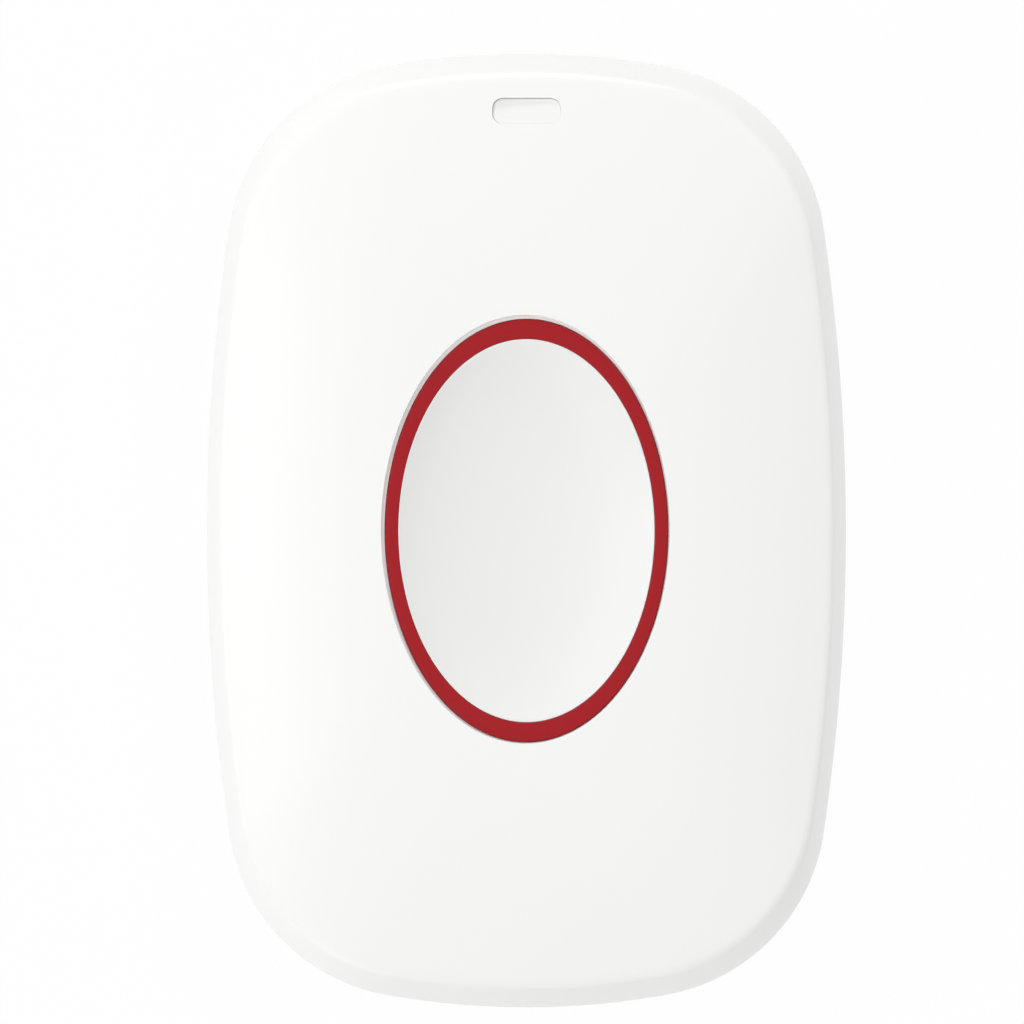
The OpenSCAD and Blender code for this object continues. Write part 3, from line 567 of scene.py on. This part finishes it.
cell_steel = metal("cell_steel", (0.7, 0.7, 0.71, 1), (0.58, 0.58, 0.6, 1), Along=(500, 7000, 7000))
cell_low, cell_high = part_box("coin_cell")
cell_y, cell_r = (cell_low.y + cell_high.y) / 2, (cell_high.x - cell_low.x) / 2
cell_round, cell_step_w, cell_step_h, crimp = 0.35 * mm, 1.2 * mm, 0.2 * mm, 0.25 * mm
can_top, cap_top, cap_r = cell_high.z - cell_step_h, cell_high.z, cell_r - cell_step_w
can_edge = bend((cell_r - cell_round, cell_low.z), (cell_r, cell_low.z), (cell_r, cell_low.z + cell_round), 5)
can_crimp = bend((cell_r, can_top - crimp), (cell_r, can_top), (cell_r - crimp, can_top), 5)
cap_edge = bend((cap_r, can_top - crimp), (cap_r, cap_top), (cap_r - crimp, cap_top), 5)
cell = lathe(can_edge + can_crimp + [(cap_r + crimp, can_top), (cap_r + crimp, can_top - crimp)] + cap_edge,
             (0, cell_y), 128)
piece("lithium_cell", cell, cell_steel, "case", "cell_steel", "coin_cell")
dress("battery_holder", switch_black)
dress("battery_positive_clip", tinned_metal)
dress("battery_negative_contact", tinned_metal)


# Radio, lamp and small parts
# The controller with its radio in a black package, a crystal in a metal can, a surface mounted
# lamp, and rows of chip capacitors and resistors with plated ends.

chip_black, _ = surface_material(
    "chip_black", moulded, Tone=(0.014, 0.014, 0.016, 1), Second_Tone=(0.022, 0.022, 0.024, 1),
    Patch_Scale=900.0, Grain_Scale=12000.0, Grain_Depth=0.3, Smoothest=0.5, Roughest=0.65)
lamp_resin, lamp_shader = surface_material(
    "lamp_resin", moulded, Tone=(0.85, 0.82, 0.66, 1), Second_Tone=(0.9, 0.88, 0.74, 1),
    Patch_Scale=700.0, Grain_Scale=9000.0, Grain_Depth=0.05, Smoothest=0.12, Roughest=0.2)
lamp_shader.inputs["Coat Weight"].default_value = 0.5
capacitor_ceramic, _ = surface_material(
    "capacitor_ceramic", moulded, Tone=(0.36, 0.24, 0.12, 1), Second_Tone=(0.46, 0.32, 0.17, 1),
    Patch_Scale=1500.0, Grain_Scale=12000.0, Grain_Depth=0.2, Smoothest=0.3, Roughest=0.45)
dress("radio_chip", chip_black)
dress("radio_crystal", cell_steel)
dress("status_lamp", lamp_resin)
chip_part_w, chip_part_pitch, body_share = 0.8 * mm, 1.3 * mm, 0.96
body_round, plating_round = 0.03 * mm, 0.05 * mm


def plated_row(node, ceramic_material, slot):
    """The chip parts of one row, with a body and two plated ends, where the CAD has them."""
    low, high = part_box(node)
    length, width, height = high.y - low.y, chip_part_w, high.z - low.z
    count = round((high.x - low.x - width) / chip_part_pitch) + 1
    middle = [(low.x + width / 2 + i * chip_part_pitch, (low.y + high.y) / 2, low.z + height / 2, 0)
              for i in range(count)]
    band = length / 5
    box = [(-width / 2, -height / 2), (width / 2, -height / 2), (width / 2, height / 2), (-width / 2, height / 2)]
    body = in_scene("body", extruded([(body_share * x, body_share * z) for x, z in box],
                                     length - 2 * band, body_round))
    ends = [in_scene("end", extruded(box, band, plating_round)) for _ in range(2)]
    for end, side in zip(ends, (-1, 1)):
        end.data.transform(Matrix.Translation((0, side * (length - band) / 2, 0)))
    bodies = copies(node + "_bodies", body, middle, ceramic_material)
    piece(node + "_bodies", bodies, ceramic_material, "case", slot, node)
    caps = copies(node + "_ends", join(*ends), middle, tinned_metal)
    piece(node + "_ends", caps, tinned_metal, "case", "tinned_metal", node)


plated_row("small_capacitors", capacitor_ceramic, "capacitor_ceramic")
plated_row("small_resistors", chip_black, "chip_black")


# Aerial
# Lacquered copper wire wound in an open coil, lying along the top end of the board and soldered
# down at both ends.

def wound_tree():
    """Geometry Nodes that wind a round wire about Z."""
    tree = bpy.data.node_groups.new("wound_wire", "GeometryNodeTree")
    given, made = group_sockets(
        tree,
        [("Geometry", "NodeSocketGeometry", None), ("Coil Radius", "NodeSocketFloat", 0.002),
         ("Wire Radius", "NodeSocketFloat", 0.0002), ("Length", "NodeSocketFloat", 0.01),
         ("Turns", "NodeSocketFloat", 5.0), ("Steps per Turn", "NodeSocketInt", 40),
         ("Wire Sides", "NodeSocketInt", 14), ("Material", "NodeSocketMaterial", None)],
        [("Wire", "NodeSocketGeometry")])
    new, link = tree.nodes.new, tree.links.new
    coil, section = new("GeometryNodeCurveSpiral"), new("GeometryNodeCurvePrimitiveCircle")
    sweep, real = new("GeometryNodeCurveToMesh"), new("GeometryNodeRealizeInstances")
    skin = new("GeometryNodeSetMaterial")
    link(given.outputs["Steps per Turn"], coil.inputs["Resolution"])
    link(given.outputs["Turns"], coil.inputs["Rotations"])
    link(given.outputs["Coil Radius"], coil.inputs["Start Radius"])
    link(given.outputs["Coil Radius"], coil.inputs["End Radius"])
    link(given.outputs["Length"], coil.inputs["Height"])
    link(given.outputs["Wire Sides"], section.inputs["Resolution"])
    link(given.outputs["Wire Radius"], section.inputs["Radius"])
    link(coil.outputs["Curve"], sweep.inputs["Curve"])
    link(section.outputs["Curve"], sweep.inputs["Profile Curve"])
    sweep.inputs["Fill Caps"].default_value = True
    link(sweep.outputs["Mesh"], real.inputs["Geometry"])
    link(real.outputs["Geometry"], skin.inputs["Geometry"])
    link(given.outputs["Material"], skin.inputs["Material"])
    link(skin.outputs["Geometry"], made.inputs["Wire"])
    return tree


wound_wire = wound_tree()
copper_wire = metal("copper_wire", (0.66, 0.3, 0.13, 1), (0.5, 0.2, 0.08, 1), Along=(3000, 900, 900),
                    Smoothest=0.2, Roughest=0.35)
aerial_low, aerial_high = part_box("antenna_coil")
aerial_d, aerial_wire, aerial_turns = 4 * mm, 0.6 * mm, 7.5
aerial_l, coil_r, wire_sides = aerial_high.x - aerial_low.x - aerial_wire, (aerial_d - aerial_wire) / 2, 14
aerial = run_nodes(in_scene("aerial", bpy.data.meshes.new("aerial")), wound_wire,
                   Coil_Radius=coil_r, Wire_Radius=aerial_wire / 2, Length=aerial_l,
                   Turns=aerial_turns, Material=copper_wire)
aerial_mid = Vector(((aerial_low.x + aerial_high.x) / 2, (aerial_low.y + aerial_high.y) / 2,
                     aerial_high.z - aerial_d / 2))
aerial.data.transform(Matrix.Translation(aerial_mid) @ Matrix.Rotation(math.pi / 2, 4, "Y")
                      @ Matrix.Translation((0, 0, -aerial_l / 2)) @ Matrix.Rotation(math.pi / 2, 4, "Z"))
legs = [in_scene("leg", lathe(
    [(aerial_wire / 2, board_top_z), (aerial_wire / 2, aerial_mid.z)],
    (aerial_mid.x + side * aerial_l / 2, aerial_mid.y - side * coil_r), wire_sides)) for side in (-1, 1)]
piece("aerial", join(aerial, *legs), copper_wire, "case", "copper_wire", "antenna_coil", angle=60)


# Button springs
# Two coil springs of steel wire between the board and the cap, which lift the button after a press. They ride on the
# case at their full height and keep it as the button goes down.

springs_low, springs_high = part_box("button_springs")
spring_d, spring_wire, spring_turns, button_travel = 4.3 * mm, 0.45 * mm, 4.5, 0.6 * mm
spring_h = springs_high.z - springs_low.z
spring_y = springs_high.y - spring_d / 2
spring = run_nodes(in_scene("spring", bpy.data.meshes.new("spring")), wound_wire,
                   Coil_Radius=(spring_d - spring_wire) / 2, Wire_Radius=spring_wire / 2,
                   Length=spring_h - spring_wire, Turns=spring_turns, Material=spring_steel)
springs = copies("lifting_springs", spring, [(0, y, springs_low.z + spring_wire / 2, 0)
                 for y in (-spring_y, spring_y)], spring_steel)
springs = piece("lifting_springs", springs, spring_steel, "case", "spring_steel", "button_springs", angle=60)
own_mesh(springs)


# Button cap
# The white oval cap, moulded with a hollowed thumb dish on top, a flange that keeps it under the
# collar, two spring seats and a stem over the switch.

ring_w, ring_h, ring_band = 22.05 * mm, 32.95 * mm, 1.02 * mm
oval_share = ring_h / ring_w
ring_r = ring_w / 2
button_gap = 0.1 * mm
opening_r = ring_r + button_gap
button_low, button_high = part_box("button_ring")
ring_low_z, ring_top_z = button_low.z, button_high.z
press_fit = 0.01 * mm
cap_out, cap_wall, flange_r = ring_r - ring_band - press_fit, 1.2 * mm, opening_r + 0.9 * mm
flange_low_z = ring_low_z - 0.9 * mm
dish_depth, dish_rim_share, dish_power, dish_rim_power = 2.1 * mm, 0.45, 2, 6
dish_wall, rim_land = 1.3 * mm, 0.06 * mm
dish_r = cap_out - rim_land
dish_low_z = ring_top_z - dish_depth
oval_steps, cap_steps, dish_steps = 192, 16, 60


def oval(r, z):
    return [Vector((r * math.cos(t), r * oval_share * math.sin(t), z))
            for t in (math.tau * i / oval_steps for i in range(oval_steps))]


def dish_z(r):
    share = r / dish_r
    bowl, rim = (1 - dish_rim_share) * share ** dish_power, dish_rim_share * share ** dish_rim_power
    return dish_low_z + dish_depth * (bowl + rim)


cap_inner = cap_out - cap_wall
cap_rings = [oval(cap_inner * i / cap_steps, dish_z(cap_inner * i / cap_steps) - dish_wall)
             for i in range(1, cap_steps + 1)]
cap_rings += [oval(cap_inner, flange_low_z), oval(flange_r - edge, flange_low_z), oval(flange_r, flange_low_z + edge),
              oval(flange_r, ring_low_z), oval(cap_out, ring_low_z)]
cap_rings += [oval(q.x, q.y) for q in bend((cap_out, ring_top_z - rim_land), (cap_out, ring_top_z),
                                           (dish_r, dish_z(dish_r)), 5)]
cap_rings += [oval(dish_r * i / dish_steps, dish_z(dish_r * i / dish_steps)) for i in range(dish_steps - 1, 0, -1)]
# Painted shade: the cap is the same white plastic as the case, but its tone is set darker than the case's white to
# stand in for the shade in its thumb dish.
cap_white, cap_shader = surface_material(
    "cap_white", moulded, Tone=(0.855, 0.855, 0.85, 1), Second_Tone=(0.865, 0.865, 0.858, 1),
    Patch_Scale=90.0, Grain_Scale=6000.0, Grain_Depth=0.06, Smoothest=0.42, Roughest=0.5)
cap_shader.inputs["Specular IOR Level"].default_value = 0.4
piece("thumb_cap", loft(cap_rings), cap_white, "button", "cap_white", "button_cap")

plunger_top_z, press_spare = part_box("switch_plunger")[1].z, 0.05 * mm
stem_r, stem_low_z = 2 * mm, plunger_top_z + button_travel - plunger_travel + press_spare
seat_z, peg_l, peg_gap = dish_low_z - dish_wall + snug, 0.9 * mm, 0.2 * mm
peg_r = spring_d / 2 - spring_wire - peg_gap
stem = in_scene("stem", lathe(
    [(stem_r - edge, stem_low_z), (stem_r, stem_low_z + edge), (stem_r, dish_low_z - dish_wall / 2)]))
pegs = [in_scene("peg", lathe(
    [(peg_r - edge, seat_z - peg_l), (peg_r, seat_z - peg_l + edge), (peg_r, seat_z),
     (spring_d / 2 + peg_gap, seat_z), (spring_d / 2 + peg_gap, seat_z + dish_wall)], (0, y)))
    for y in (-spring_y, spring_y)]
piece("cap_stem_and_pegs", join(stem, *pegs), cap_white, "button", "cap_white", "button_cap")


# Red ring
# A glossy red oval ring, pressed over the cap from above down to its flange. It moves with the
# cap.

def swept_oval_tree():
    """Geometry Nodes that sweep a rounded bar round a circle and draw it out to an oval along Y."""
    tree = bpy.data.node_groups.new("swept_oval", "GeometryNodeTree")
    given, made = group_sockets(
        tree,
        [("Geometry", "NodeSocketGeometry", None), ("Radius", "NodeSocketFloat", 0.01),
         ("Bar Width", "NodeSocketFloat", 0.001), ("Bar Height", "NodeSocketFloat", 0.003),
         ("Rounding", "NodeSocketFloat", 0.0001), ("Oval Share", "NodeSocketFloat", 1.5),
         ("Steps", "NodeSocketInt", 256), ("Material", "NodeSocketMaterial", None)],
        [("Ring", "NodeSocketGeometry")])
    new, link = tree.nodes.new, tree.links.new
    path, bar = new("GeometryNodeCurvePrimitiveCircle"), new("GeometryNodeCurvePrimitiveQuadrilateral")
    fillet, sweep = new("GeometryNodeFilletCurve"), new("GeometryNodeCurveToMesh")
    size, draw = new("ShaderNodeCombineXYZ"), new("GeometryNodeTransform")
    real, skin = new("GeometryNodeRealizeInstances"), new("GeometryNodeSetMaterial")
    size.inputs["X"].default_value, size.inputs["Z"].default_value = 1, 1
    fillet.mode = "POLY"
    fillet.inputs["Count"].default_value = 5
    link(given.outputs["Steps"], path.inputs["Resolution"])
    link(given.outputs["Radius"], path.inputs["Radius"])
    link(given.outputs["Bar Width"], bar.inputs["Width"])
    link(given.outputs["Bar Height"], bar.inputs["Height"])
    link(bar.outputs["Curve"], fillet.inputs["Curve"])
    link(given.outputs["Rounding"], fillet.inputs["Radius"])
    link(path.outputs["Curve"], sweep.inputs["Curve"])
    link(fillet.outputs["Curve"], sweep.inputs["Profile Curve"])
    link(given.outputs["Oval Share"], size.inputs["Y"])
    link(sweep.outputs["Mesh"], draw.inputs["Geometry"])
    link(size.outputs["Vector"], draw.inputs["Scale"])
    link(draw.outputs["Geometry"], real.inputs["Geometry"])
    link(real.outputs["Geometry"], skin.inputs["Geometry"])
    link(given.outputs["Material"], skin.inputs["Material"])
    link(skin.outputs["Geometry"], made.inputs["Ring"])
    return tree


ring_red, ring_shader = surface_material(
    "ring_red", moulded, Tone=(0.37, 0.006, 0.011, 1), Second_Tone=(0.35, 0.005, 0.01, 1),
    Patch_Scale=120.0, Grain_Scale=6000.0, Grain_Depth=0.04, Smoothest=0.28, Roughest=0.34)
ring_shader.inputs["Specular IOR Level"].default_value = 0.25
red_ring = run_nodes(in_scene("red_ring", bpy.data.meshes.new("red_ring")), swept_oval_tree(),
                     Radius=ring_r - ring_band / 2, Bar_Width=ring_band, Bar_Height=ring_top_z - ring_low_z,
                     Rounding=0.08 * mm, Oval_Share=oval_share, Material=ring_red)
red_ring.data.transform(Matrix.Translation((0, 0, (ring_low_z + ring_top_z) / 2)))
piece("red_ring", red_ring, ring_red, "button", "ring_red", "button_ring", angle=60)


# Front cover
# The crowned half of the case: one white moulding that falls from its middle to a soft crease
# and a steep flank. A small step runs round its oval opening, above the collar that guides the button.

face_z, crown_drop, crown_power = 15.5 * mm, 2.6 * mm, 3
flank_w, flank_power, crease_blend = 1.08 * mm, 1.8, 0.5 * mm
lip_step, lip_edge, sight_gap, collar_t = 0.25 * mm, 0.02 * mm, 0.04 * mm, 1.2 * mm
lip_shift, step_z = Vector((-0.08, 0.11)) * mm, ring_top_z - 0.22 * mm
sight_depth, guide_depth, face_steps, ceiling_steps = 0.3 * mm, 0.4 * mm, 36, 12
collar_r = opening_r + collar_t
crease_share = 1 - flank_w / half_w
crease_z = face_z - crown_drop
collar_low_z = ring_low_z + 0.1 * mm
blend_low_z, blend_share = crease_z - crease_blend, crease_share - crease_blend / half_w
ceiling_share = crease_share - front_wall / half_w
inner_top_z = crease_z - front_wall
seat_top_z = tongue_top_z + tongue_gap


def crown_z(share):
    return face_z - crown_drop * (share / crease_share) ** crown_power


def flank_share(z):
    return 1 - (1 - crease_share) * max(0, (z - parting_z) / (crease_z - parting_z)) ** flank_power


def oval_share_at(p, r, wider=0.0, shift=Vector((0, 0))):
    """The share of the outline at which an oval crosses the line to a point of the outline."""
    size = Vector((r + wider, r * oval_share + wider))
    px, py, cx, cy = p.x / size.x, p.y / size.y, shift.x / size.x, shift.y / size.y
    a, b, c = px * px + py * py, px * cx + py * cy, cx * cx + cy * cy - 1
    return (b + math.sqrt(b * b - a * c)) / a


def face_ring(t):
    shares = [(p, blend_share + (oval_share_at(p, ring_r, lip_step, lip_shift) - blend_share) * t) for p in outline]
    return [Vector((p.x * s, p.y * s, crown_z(s))) for p, s in shares]


def lip_ring(wider, z=None, shift=Vector((0, 0))):
    """A ring of the step: at a height, or a little below the edge of the face."""
    shares = [(p, oval_share_at(p, ring_r, wider, shift)) for p in outline]
    return [Vector((p.x * s, p.y * s, crown_z(s) - lip_edge if z is None else z)) for p, s in shares]


def oval_ring(r, z):
    return [Vector((p.x * s, p.y * s, z)) for p, s in ((p, oval_share_at(p, r)) for p in outline)]


def ceiling_ring(t):
    shares = [(p, oval_share_at(p, collar_r) + (ceiling_share - oval_share_at(p, collar_r)) * t) for p in outline]
    return [Vector((p.x * s, p.y * s, crown_z(s) - front_wall)) for p, s in shares]


rim_top = parting_z + rim_round
front_rings = [outline_ring(q.x, 0, q.y) for q in bend(
    (1 - rim_round / half_w, parting_z), (1, parting_z), (flank_share(rim_top), rim_top), 4)]
front_rings += [outline_ring(flank_share(z), 0, z) for z in between(rim_top, blend_low_z, 14)]
front_rings += [outline_ring(q.x, 0, q.y) for q in bend(
    (flank_share(blend_low_z), blend_low_z), (crease_share, crease_z), (blend_share, crown_z(blend_share)), 14)]
front_rings += [face_ring(i / face_steps) for i in range(1, face_steps + 1)]
front_rings += [lip_ring(lip_step - lip_edge, shift=lip_shift)]
front_rings += [lip_ring(lip_step - lip_edge, step_z + lip_edge, lip_shift)]
front_rings += [lip_ring(lip_step - 2 * lip_edge, step_z, lip_shift), lip_ring(sight_gap + lip_edge / 2, step_z)]
front_rings += [lip_ring(sight_gap, step_z - lip_edge / 2), lip_ring(sight_gap, step_z - sight_depth)]
front_rings += [oval_ring(opening_r, z) for z in between(step_z - guide_depth, collar_low_z, 4)]
front_rings += [oval_ring(opening_r, collar_low_z), oval_ring(collar_r, collar_low_z)]
front_rings += [ceiling_ring(i / ceiling_steps) for i in range(ceiling_steps + 1)]
front_rings += [outline_ring(flank_share(z), front_wall, z) for z in (inner_top_z, (inner_top_z + seat_top_z) / 2)]
front_rings += [outline_ring(1, front_wall, z) for z in (seat_top_z, parting_z)]
front_cover = in_scene("front_cover_shell", loft(front_rings, closed=True))

slot_l, slot_w, slot_y, slot_round = 5.3 * mm, 2 * mm, half_h - 4.55 * mm, 0.06 * mm
slot_corner_r, slot_corner_steps = 0.78 * mm, 12
slot_slope = crown_power * crown_drop * (slot_y / half_h / crease_share) ** (crown_power - 1) / crease_share / half_h


def slot_ring(grow, z, slope=0.0):
    """The outline of the slot, grown on all sides, on a plane that falls along Y."""
    r = slot_corner_r + grow
    corners = [(x * (slot_l / 2 - slot_corner_r), y * (slot_w / 2 - slot_corner_r), turn) for x, y, turn in (
        (1, -1, -90), (1, 1, 0), (-1, 1, 90), (-1, -1, 180))]
    turns = [(x, y, math.radians(turn + 90 * i / slot_corner_steps))
             for x, y, turn in corners for i in range(slot_corner_steps + 1)]
    points = [(x + r * math.cos(t), y + r * math.sin(t)) for x, y, t in turns]
    return [Vector((x, slot_y + y, z - slope * y)) for x, y in points]


slot_face_z = crown_z(slot_y / half_h)
slot_rings = [slot_ring(0, inner_top_z - front_wall), slot_ring(0, slot_face_z - slot_round, slot_slope)]
slot_rings += [slot_ring(slot_round * (1 - math.cos(t)), slot_face_z - slot_round * (1 - math.sin(t)), slot_slope)
               for t in (math.pi / 2 * i / 5 for i in range(1, 6))]
slot_rings += [slot_ring(2 * slot_round, slot_face_z + 2 * slot_round, slot_slope)]
cut(front_cover, in_scene("slot", loft(slot_rings)))
piece("front_cover_shell", front_cover, case_white, "case", "case_white", "front_cover")


# Inside of the front cover
# Bosses for the board's screws, two pins that place the board, ribs under the crown and four
# ledges for the hooks, all moulded with the cover.

def share_at(x, y):
    """The share of the outline on which a point lies."""
    return max(((r.y - q.y) * x + (q.x - r.x) * y) / ((r.y - q.y) * q.x + (q.x - r.x) * q.y)
               for q, r in zip(outline, outline[1:] + outline[:1]))


boss_r, pilot_r, pilot_l = 2.6 * mm, 1 * mm, 4.8 * mm
boss_low, boss_high = board_top_z, crown_z(share_at(screw_x, screw_y)) - front_wall / 2
boss = in_scene("boss", lathe(
    [(pilot_r, boss_low + pilot_l), (pilot_r, boss_low), (boss_r - edge, boss_low), (boss_r, boss_low + edge),
     (boss_r, boss_high)], steps=48))
bosses = copies("front_cover_bosses", boss, [(x, y, 0, 0) for x in (-screw_x, screw_x) for y in (-screw_y, screw_y)],
                case_white)
pin_x, pin_y, pin_r, pin_seat_r = 16.6 * mm, 19 * mm, 0.8 * mm, 1.5 * mm
pin_low, pin_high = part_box("front_cover")[0].z, crown_z(share_at(pin_x, pin_y)) - front_wall / 2
pin = in_scene("pin", lathe(
    [(pin_r - edge, pin_low), (pin_r, pin_low + edge), (pin_r, board_top_z), (pin_seat_r, board_top_z),
     (pin_seat_r, pin_high)], steps=48))
pins = copies("front_cover_pins", pin, [(pin_x, pin_y, 0, 0), (-pin_x, -pin_y, 0, 0)], case_white)
ledge_reach, ledge_round = 1 * mm, 0.06 * mm
ledge_x = side_c.x + math.sqrt(side_curve_r ** 2 - hook_y ** 2) - front_wall
ledge = in_scene("ledge", extruded(
    [(-ledge_reach, ledge_low_z), (front_wall / 2, ledge_low_z), (front_wall / 2, ledge_low_z + ledge_h),
     (-ledge_reach, ledge_low_z + ledge_h)], hook_w, ledge_round))
ledges = copies("front_cover_ledges", ledge, [(ledge_x, y, 0, 0) for y in (-hook_y, hook_y)]
                + [(-ledge_x, y, 0, math.pi) for y in (-hook_y, hook_y)], case_white)
rib_t, rib_low_z, rib_root_r = 0.9 * mm, collar_low_z + 0.1 * mm, collar_r - collar_t / 2
side_rib_share, end_rib_share, rib_end_gap, rib_round, rib_steps = 0.43, 0.72, 0.2 * mm, 0.05 * mm, 8


def crown_rib(start, end):
    """A thin wall that hangs from the underside of the crown between two places."""
    along = end - start
    tops = [start + along * i / rib_steps for i in range(rib_steps + 1)]
    section = [((p - start).length, crown_z(share_at(p.x, p.y)) - front_wall / 2) for p in tops]
    mesh = extruded([(0, rib_low_z), (along.length, rib_low_z)] + section[::-1], rib_t, rib_round)
    mesh.transform(Matrix.Translation((start.x, start.y, 0)) @ Matrix.Rotation(math.atan2(along.y, along.x), 4, "Z"))
    return in_scene("rib", mesh)


side_rib_y, end_rib_x = side_rib_share * collar_r * oval_share, end_rib_share * collar_r
side_rib_x = rib_root_r * math.sqrt(1 - side_rib_share ** 2)
end_rib_y = rib_root_r * oval_share * math.sqrt(1 - end_rib_share ** 2)
ribs = []
for x, y in ((x, y) for x in (-1, 1) for y in (-1, 1)):
    ribs.append(crown_rib(Vector((x * side_rib_x, y * side_rib_y)),
                          Vector((x * (half_w - front_wall - rib_end_gap), y * side_rib_y))))
    ribs.append(crown_rib(Vector((x * end_rib_x, y * end_rib_y)),
                          Vector((x * end_rib_x, y * half_h * ceiling_share))))
inside = join(bosses, pins, ledges, *ribs)
piece("front_cover_inside", inside, case_white, "case", "case_white", "front_cover")


# Light pipe
# A milky moulding pressed into the slot from inside. Its head lies a little below the face, deepest
# at the upper left, its flange seats under the wall, and its foot stands over the lamp.

slot_recess, pipe_fit, pipe_flange_t, pipe_flange_reach = 0.25 * mm, 0.02 * mm, 0.8 * mm, 0.3 * mm
pipe_slope, pipe_lean, pipe_shift = 0.14, 0.035, Vector((0.012, -0.014, 0)) * mm
pipe_low, pipe_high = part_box("light_pipe")
pipe_flange_z = inner_top_z - pipe_flange_reach / 2
pipe_top_z = slot_face_z - slot_recess
pipe_rings = [slot_ring(pipe_flange_reach - edge, pipe_flange_z - pipe_flange_t),
              slot_ring(pipe_flange_reach, pipe_flange_z - pipe_flange_t + edge),
              slot_ring(pipe_flange_reach, pipe_flange_z)]
pipe_rings += [[p + pipe_shift for p in slot_ring(-pipe_fit, pipe_flange_z)],
               [p + pipe_shift + Vector((0, 0, pipe_lean * p.x))
                for p in slot_ring(-pipe_fit, pipe_top_z, slot_slope + pipe_slope)]]
pipe = in_scene("milky_pipe", loft(pipe_rings))
foot_l, foot_w, foot_round = pipe_high.x - pipe_low.x - 2 * mm, 3 * mm, 0.1 * mm
foot_top_z = pipe_flange_z - pipe_flange_t / 2
foot = in_scene("foot", extruded(
    [(-foot_l / 2, pipe_low.z), (foot_l / 2, pipe_low.z), (foot_l / 2, foot_top_z), (-foot_l / 2, foot_top_z)],
    foot_w, foot_round))
foot.data.transform(Matrix.Translation((0, pipe_low.y + foot_w / 2, 0)))
milky_window, milky_shader = surface_material(
    "milky_window", moulded, Tone=(0.895, 0.895, 0.885, 1), Second_Tone=(0.915, 0.915, 0.905, 1),
    Patch_Scale=200.0, Grain_Scale=5000.0, Grain_Depth=0.04, Smoothest=0.5, Roughest=0.58)
milky_shader.inputs["Specular IOR Level"].default_value = 0.3
piece("milky_pipe", join(pipe, foot), milky_window, "case", "milky_window", "light_pipe")


# Camera, floor and light
# The photograph looks straight down on the front. Four softboxes stand high at the corners, one
# more makes the left brighter, and the plain white floor lies a hair under the flat back.

photo_px, case_px_x, case_px_y, metres_per_px = 1024, 526.4, 530.6, 0.07824 * mm
camera_z, sensor = 2.4, 36.0
camera = bpy.data.objects.new("camera", bpy.data.cameras.new("camera"))
bpy.context.scene.collection.objects.link(camera)
bpy.context.scene.camera = camera
camera.data.sensor_width = sensor
camera.data.lens = sensor * (camera_z - parting_z) / (photo_px * metres_per_px)
camera.data.clip_start, camera.data.clip_end = 0.1, 10
camera.location = ((photo_px / 2 - case_px_x) * metres_per_px, (case_px_y - photo_px / 2) * metres_per_px, camera_z)


def white_to_camera(nodes, links, lit, output, most):
    """Mixes plain white over a lit surface for rays that see it directly or by reflection."""
    path, white = nodes.new("ShaderNodeLightPath"), nodes.new("ShaderNodeEmission")
    mix = nodes.new("ShaderNodeMixShader")
    also, seen, amount = (nodes.new("ShaderNodeMath") for _ in range(3))
    also.operation, seen.operation, amount.operation = "MAXIMUM", "MAXIMUM", "MULTIPLY"
    amount.inputs[1].default_value = most
    links.new(path.outputs["Is Glossy Ray"], also.inputs[0])
    links.new(path.outputs["Is Transmission Ray"], also.inputs[1])
    links.new(path.outputs["Is Camera Ray"], seen.inputs[0])
    links.new(also.outputs[0], seen.inputs[1])
    links.new(seen.outputs[0], amount.inputs[0])
    links.new(amount.outputs[0], mix.inputs["Fac"])
    links.new(lit, mix.inputs[1])
    links.new(white.outputs[0], mix.inputs[2])
    links.new(mix.outputs[0], output)


floor_side, floor_z, floor_white_share, sky_white_share = 2.0, -0.02 * mm, 0.97, 1.0
floor_white = bpy.data.materials.new("floor_white")
floor_white.use_nodes = True
floor_nodes = floor_white.node_tree.nodes
paint = floor_nodes["Principled BSDF"]
paint.inputs["Base Color"].default_value, paint.inputs["Roughness"].default_value = (0.85, 0.85, 0.85, 1), 0.9
white_to_camera(floor_nodes, floor_white.node_tree.links, paint.outputs[0],
                floor_nodes["Material Output"].inputs["Surface"], floor_white_share)
floor_mesh = bpy.data.meshes.new("floor")
floor_corners = [(x * floor_side, y * floor_side, floor_z) for x, y in ((-1, -1), (1, -1), (1, 1), (-1, 1))]
floor_mesh.from_pydata(floor_corners, [], [(0, 1, 2, 3)])
floor = in_scene("floor", floor_mesh)
floor.data.materials.append(floor_white)

world = bpy.data.worlds.new("studio")
bpy.context.scene.world = world
world.use_nodes = True
world_nodes = world.node_tree.nodes
sky = world_nodes["Background"]
sky.inputs["Color"].default_value, sky.inputs["Strength"].default_value = (1, 1, 1, 1), 0.432
white_to_camera(world_nodes, world.node_tree.links, sky.outputs[0],
                world_nodes["World Output"].inputs["Surface"], sky_white_share)

corner_reach, overhead_z, overhead_size, overhead_watts = 0.62, 1.1, 0.4, 1.84
overhead_lamps = [(f"overhead_softbox_{i + 1}", (x * corner_reach, y * corner_reach, overhead_z),
                   overhead_size, overhead_watts)
                  for i, (x, y) in enumerate(((-1, -1), (-1, 1), (1, -1), (1, 1)))]
side_lamps = [("left_softbox", (-0.45, 0, 0.78), 0.14, 0.95), ("left_reflector", (-0.85, 0, 0.25), 0.3, 1.0),
              ("right_reflector", (0.85, 0, 0.25), 0.3, 0.5), ("upper_reflector", (0, 0.85, 0.25), 0.3, 1.9),
              ("lower_reflector", (-0.4, -0.75, 0.25), 0.3, 0.95)]
for name, place, size, watts in overhead_lamps + side_lamps:
    lamp = bpy.data.objects.new(name, bpy.data.lights.new(name, "AREA"))
    bpy.context.scene.collection.objects.link(lamp)
    lamp.data.shape, lamp.data.size, lamp.data.energy = "DISK", size, watts
    lamp.location = place
    lamp.rotation_euler = Vector(place).to_track_quat("Z", "Y").to_euler()

bpy.context.scene.view_settings.view_transform = "Standard"
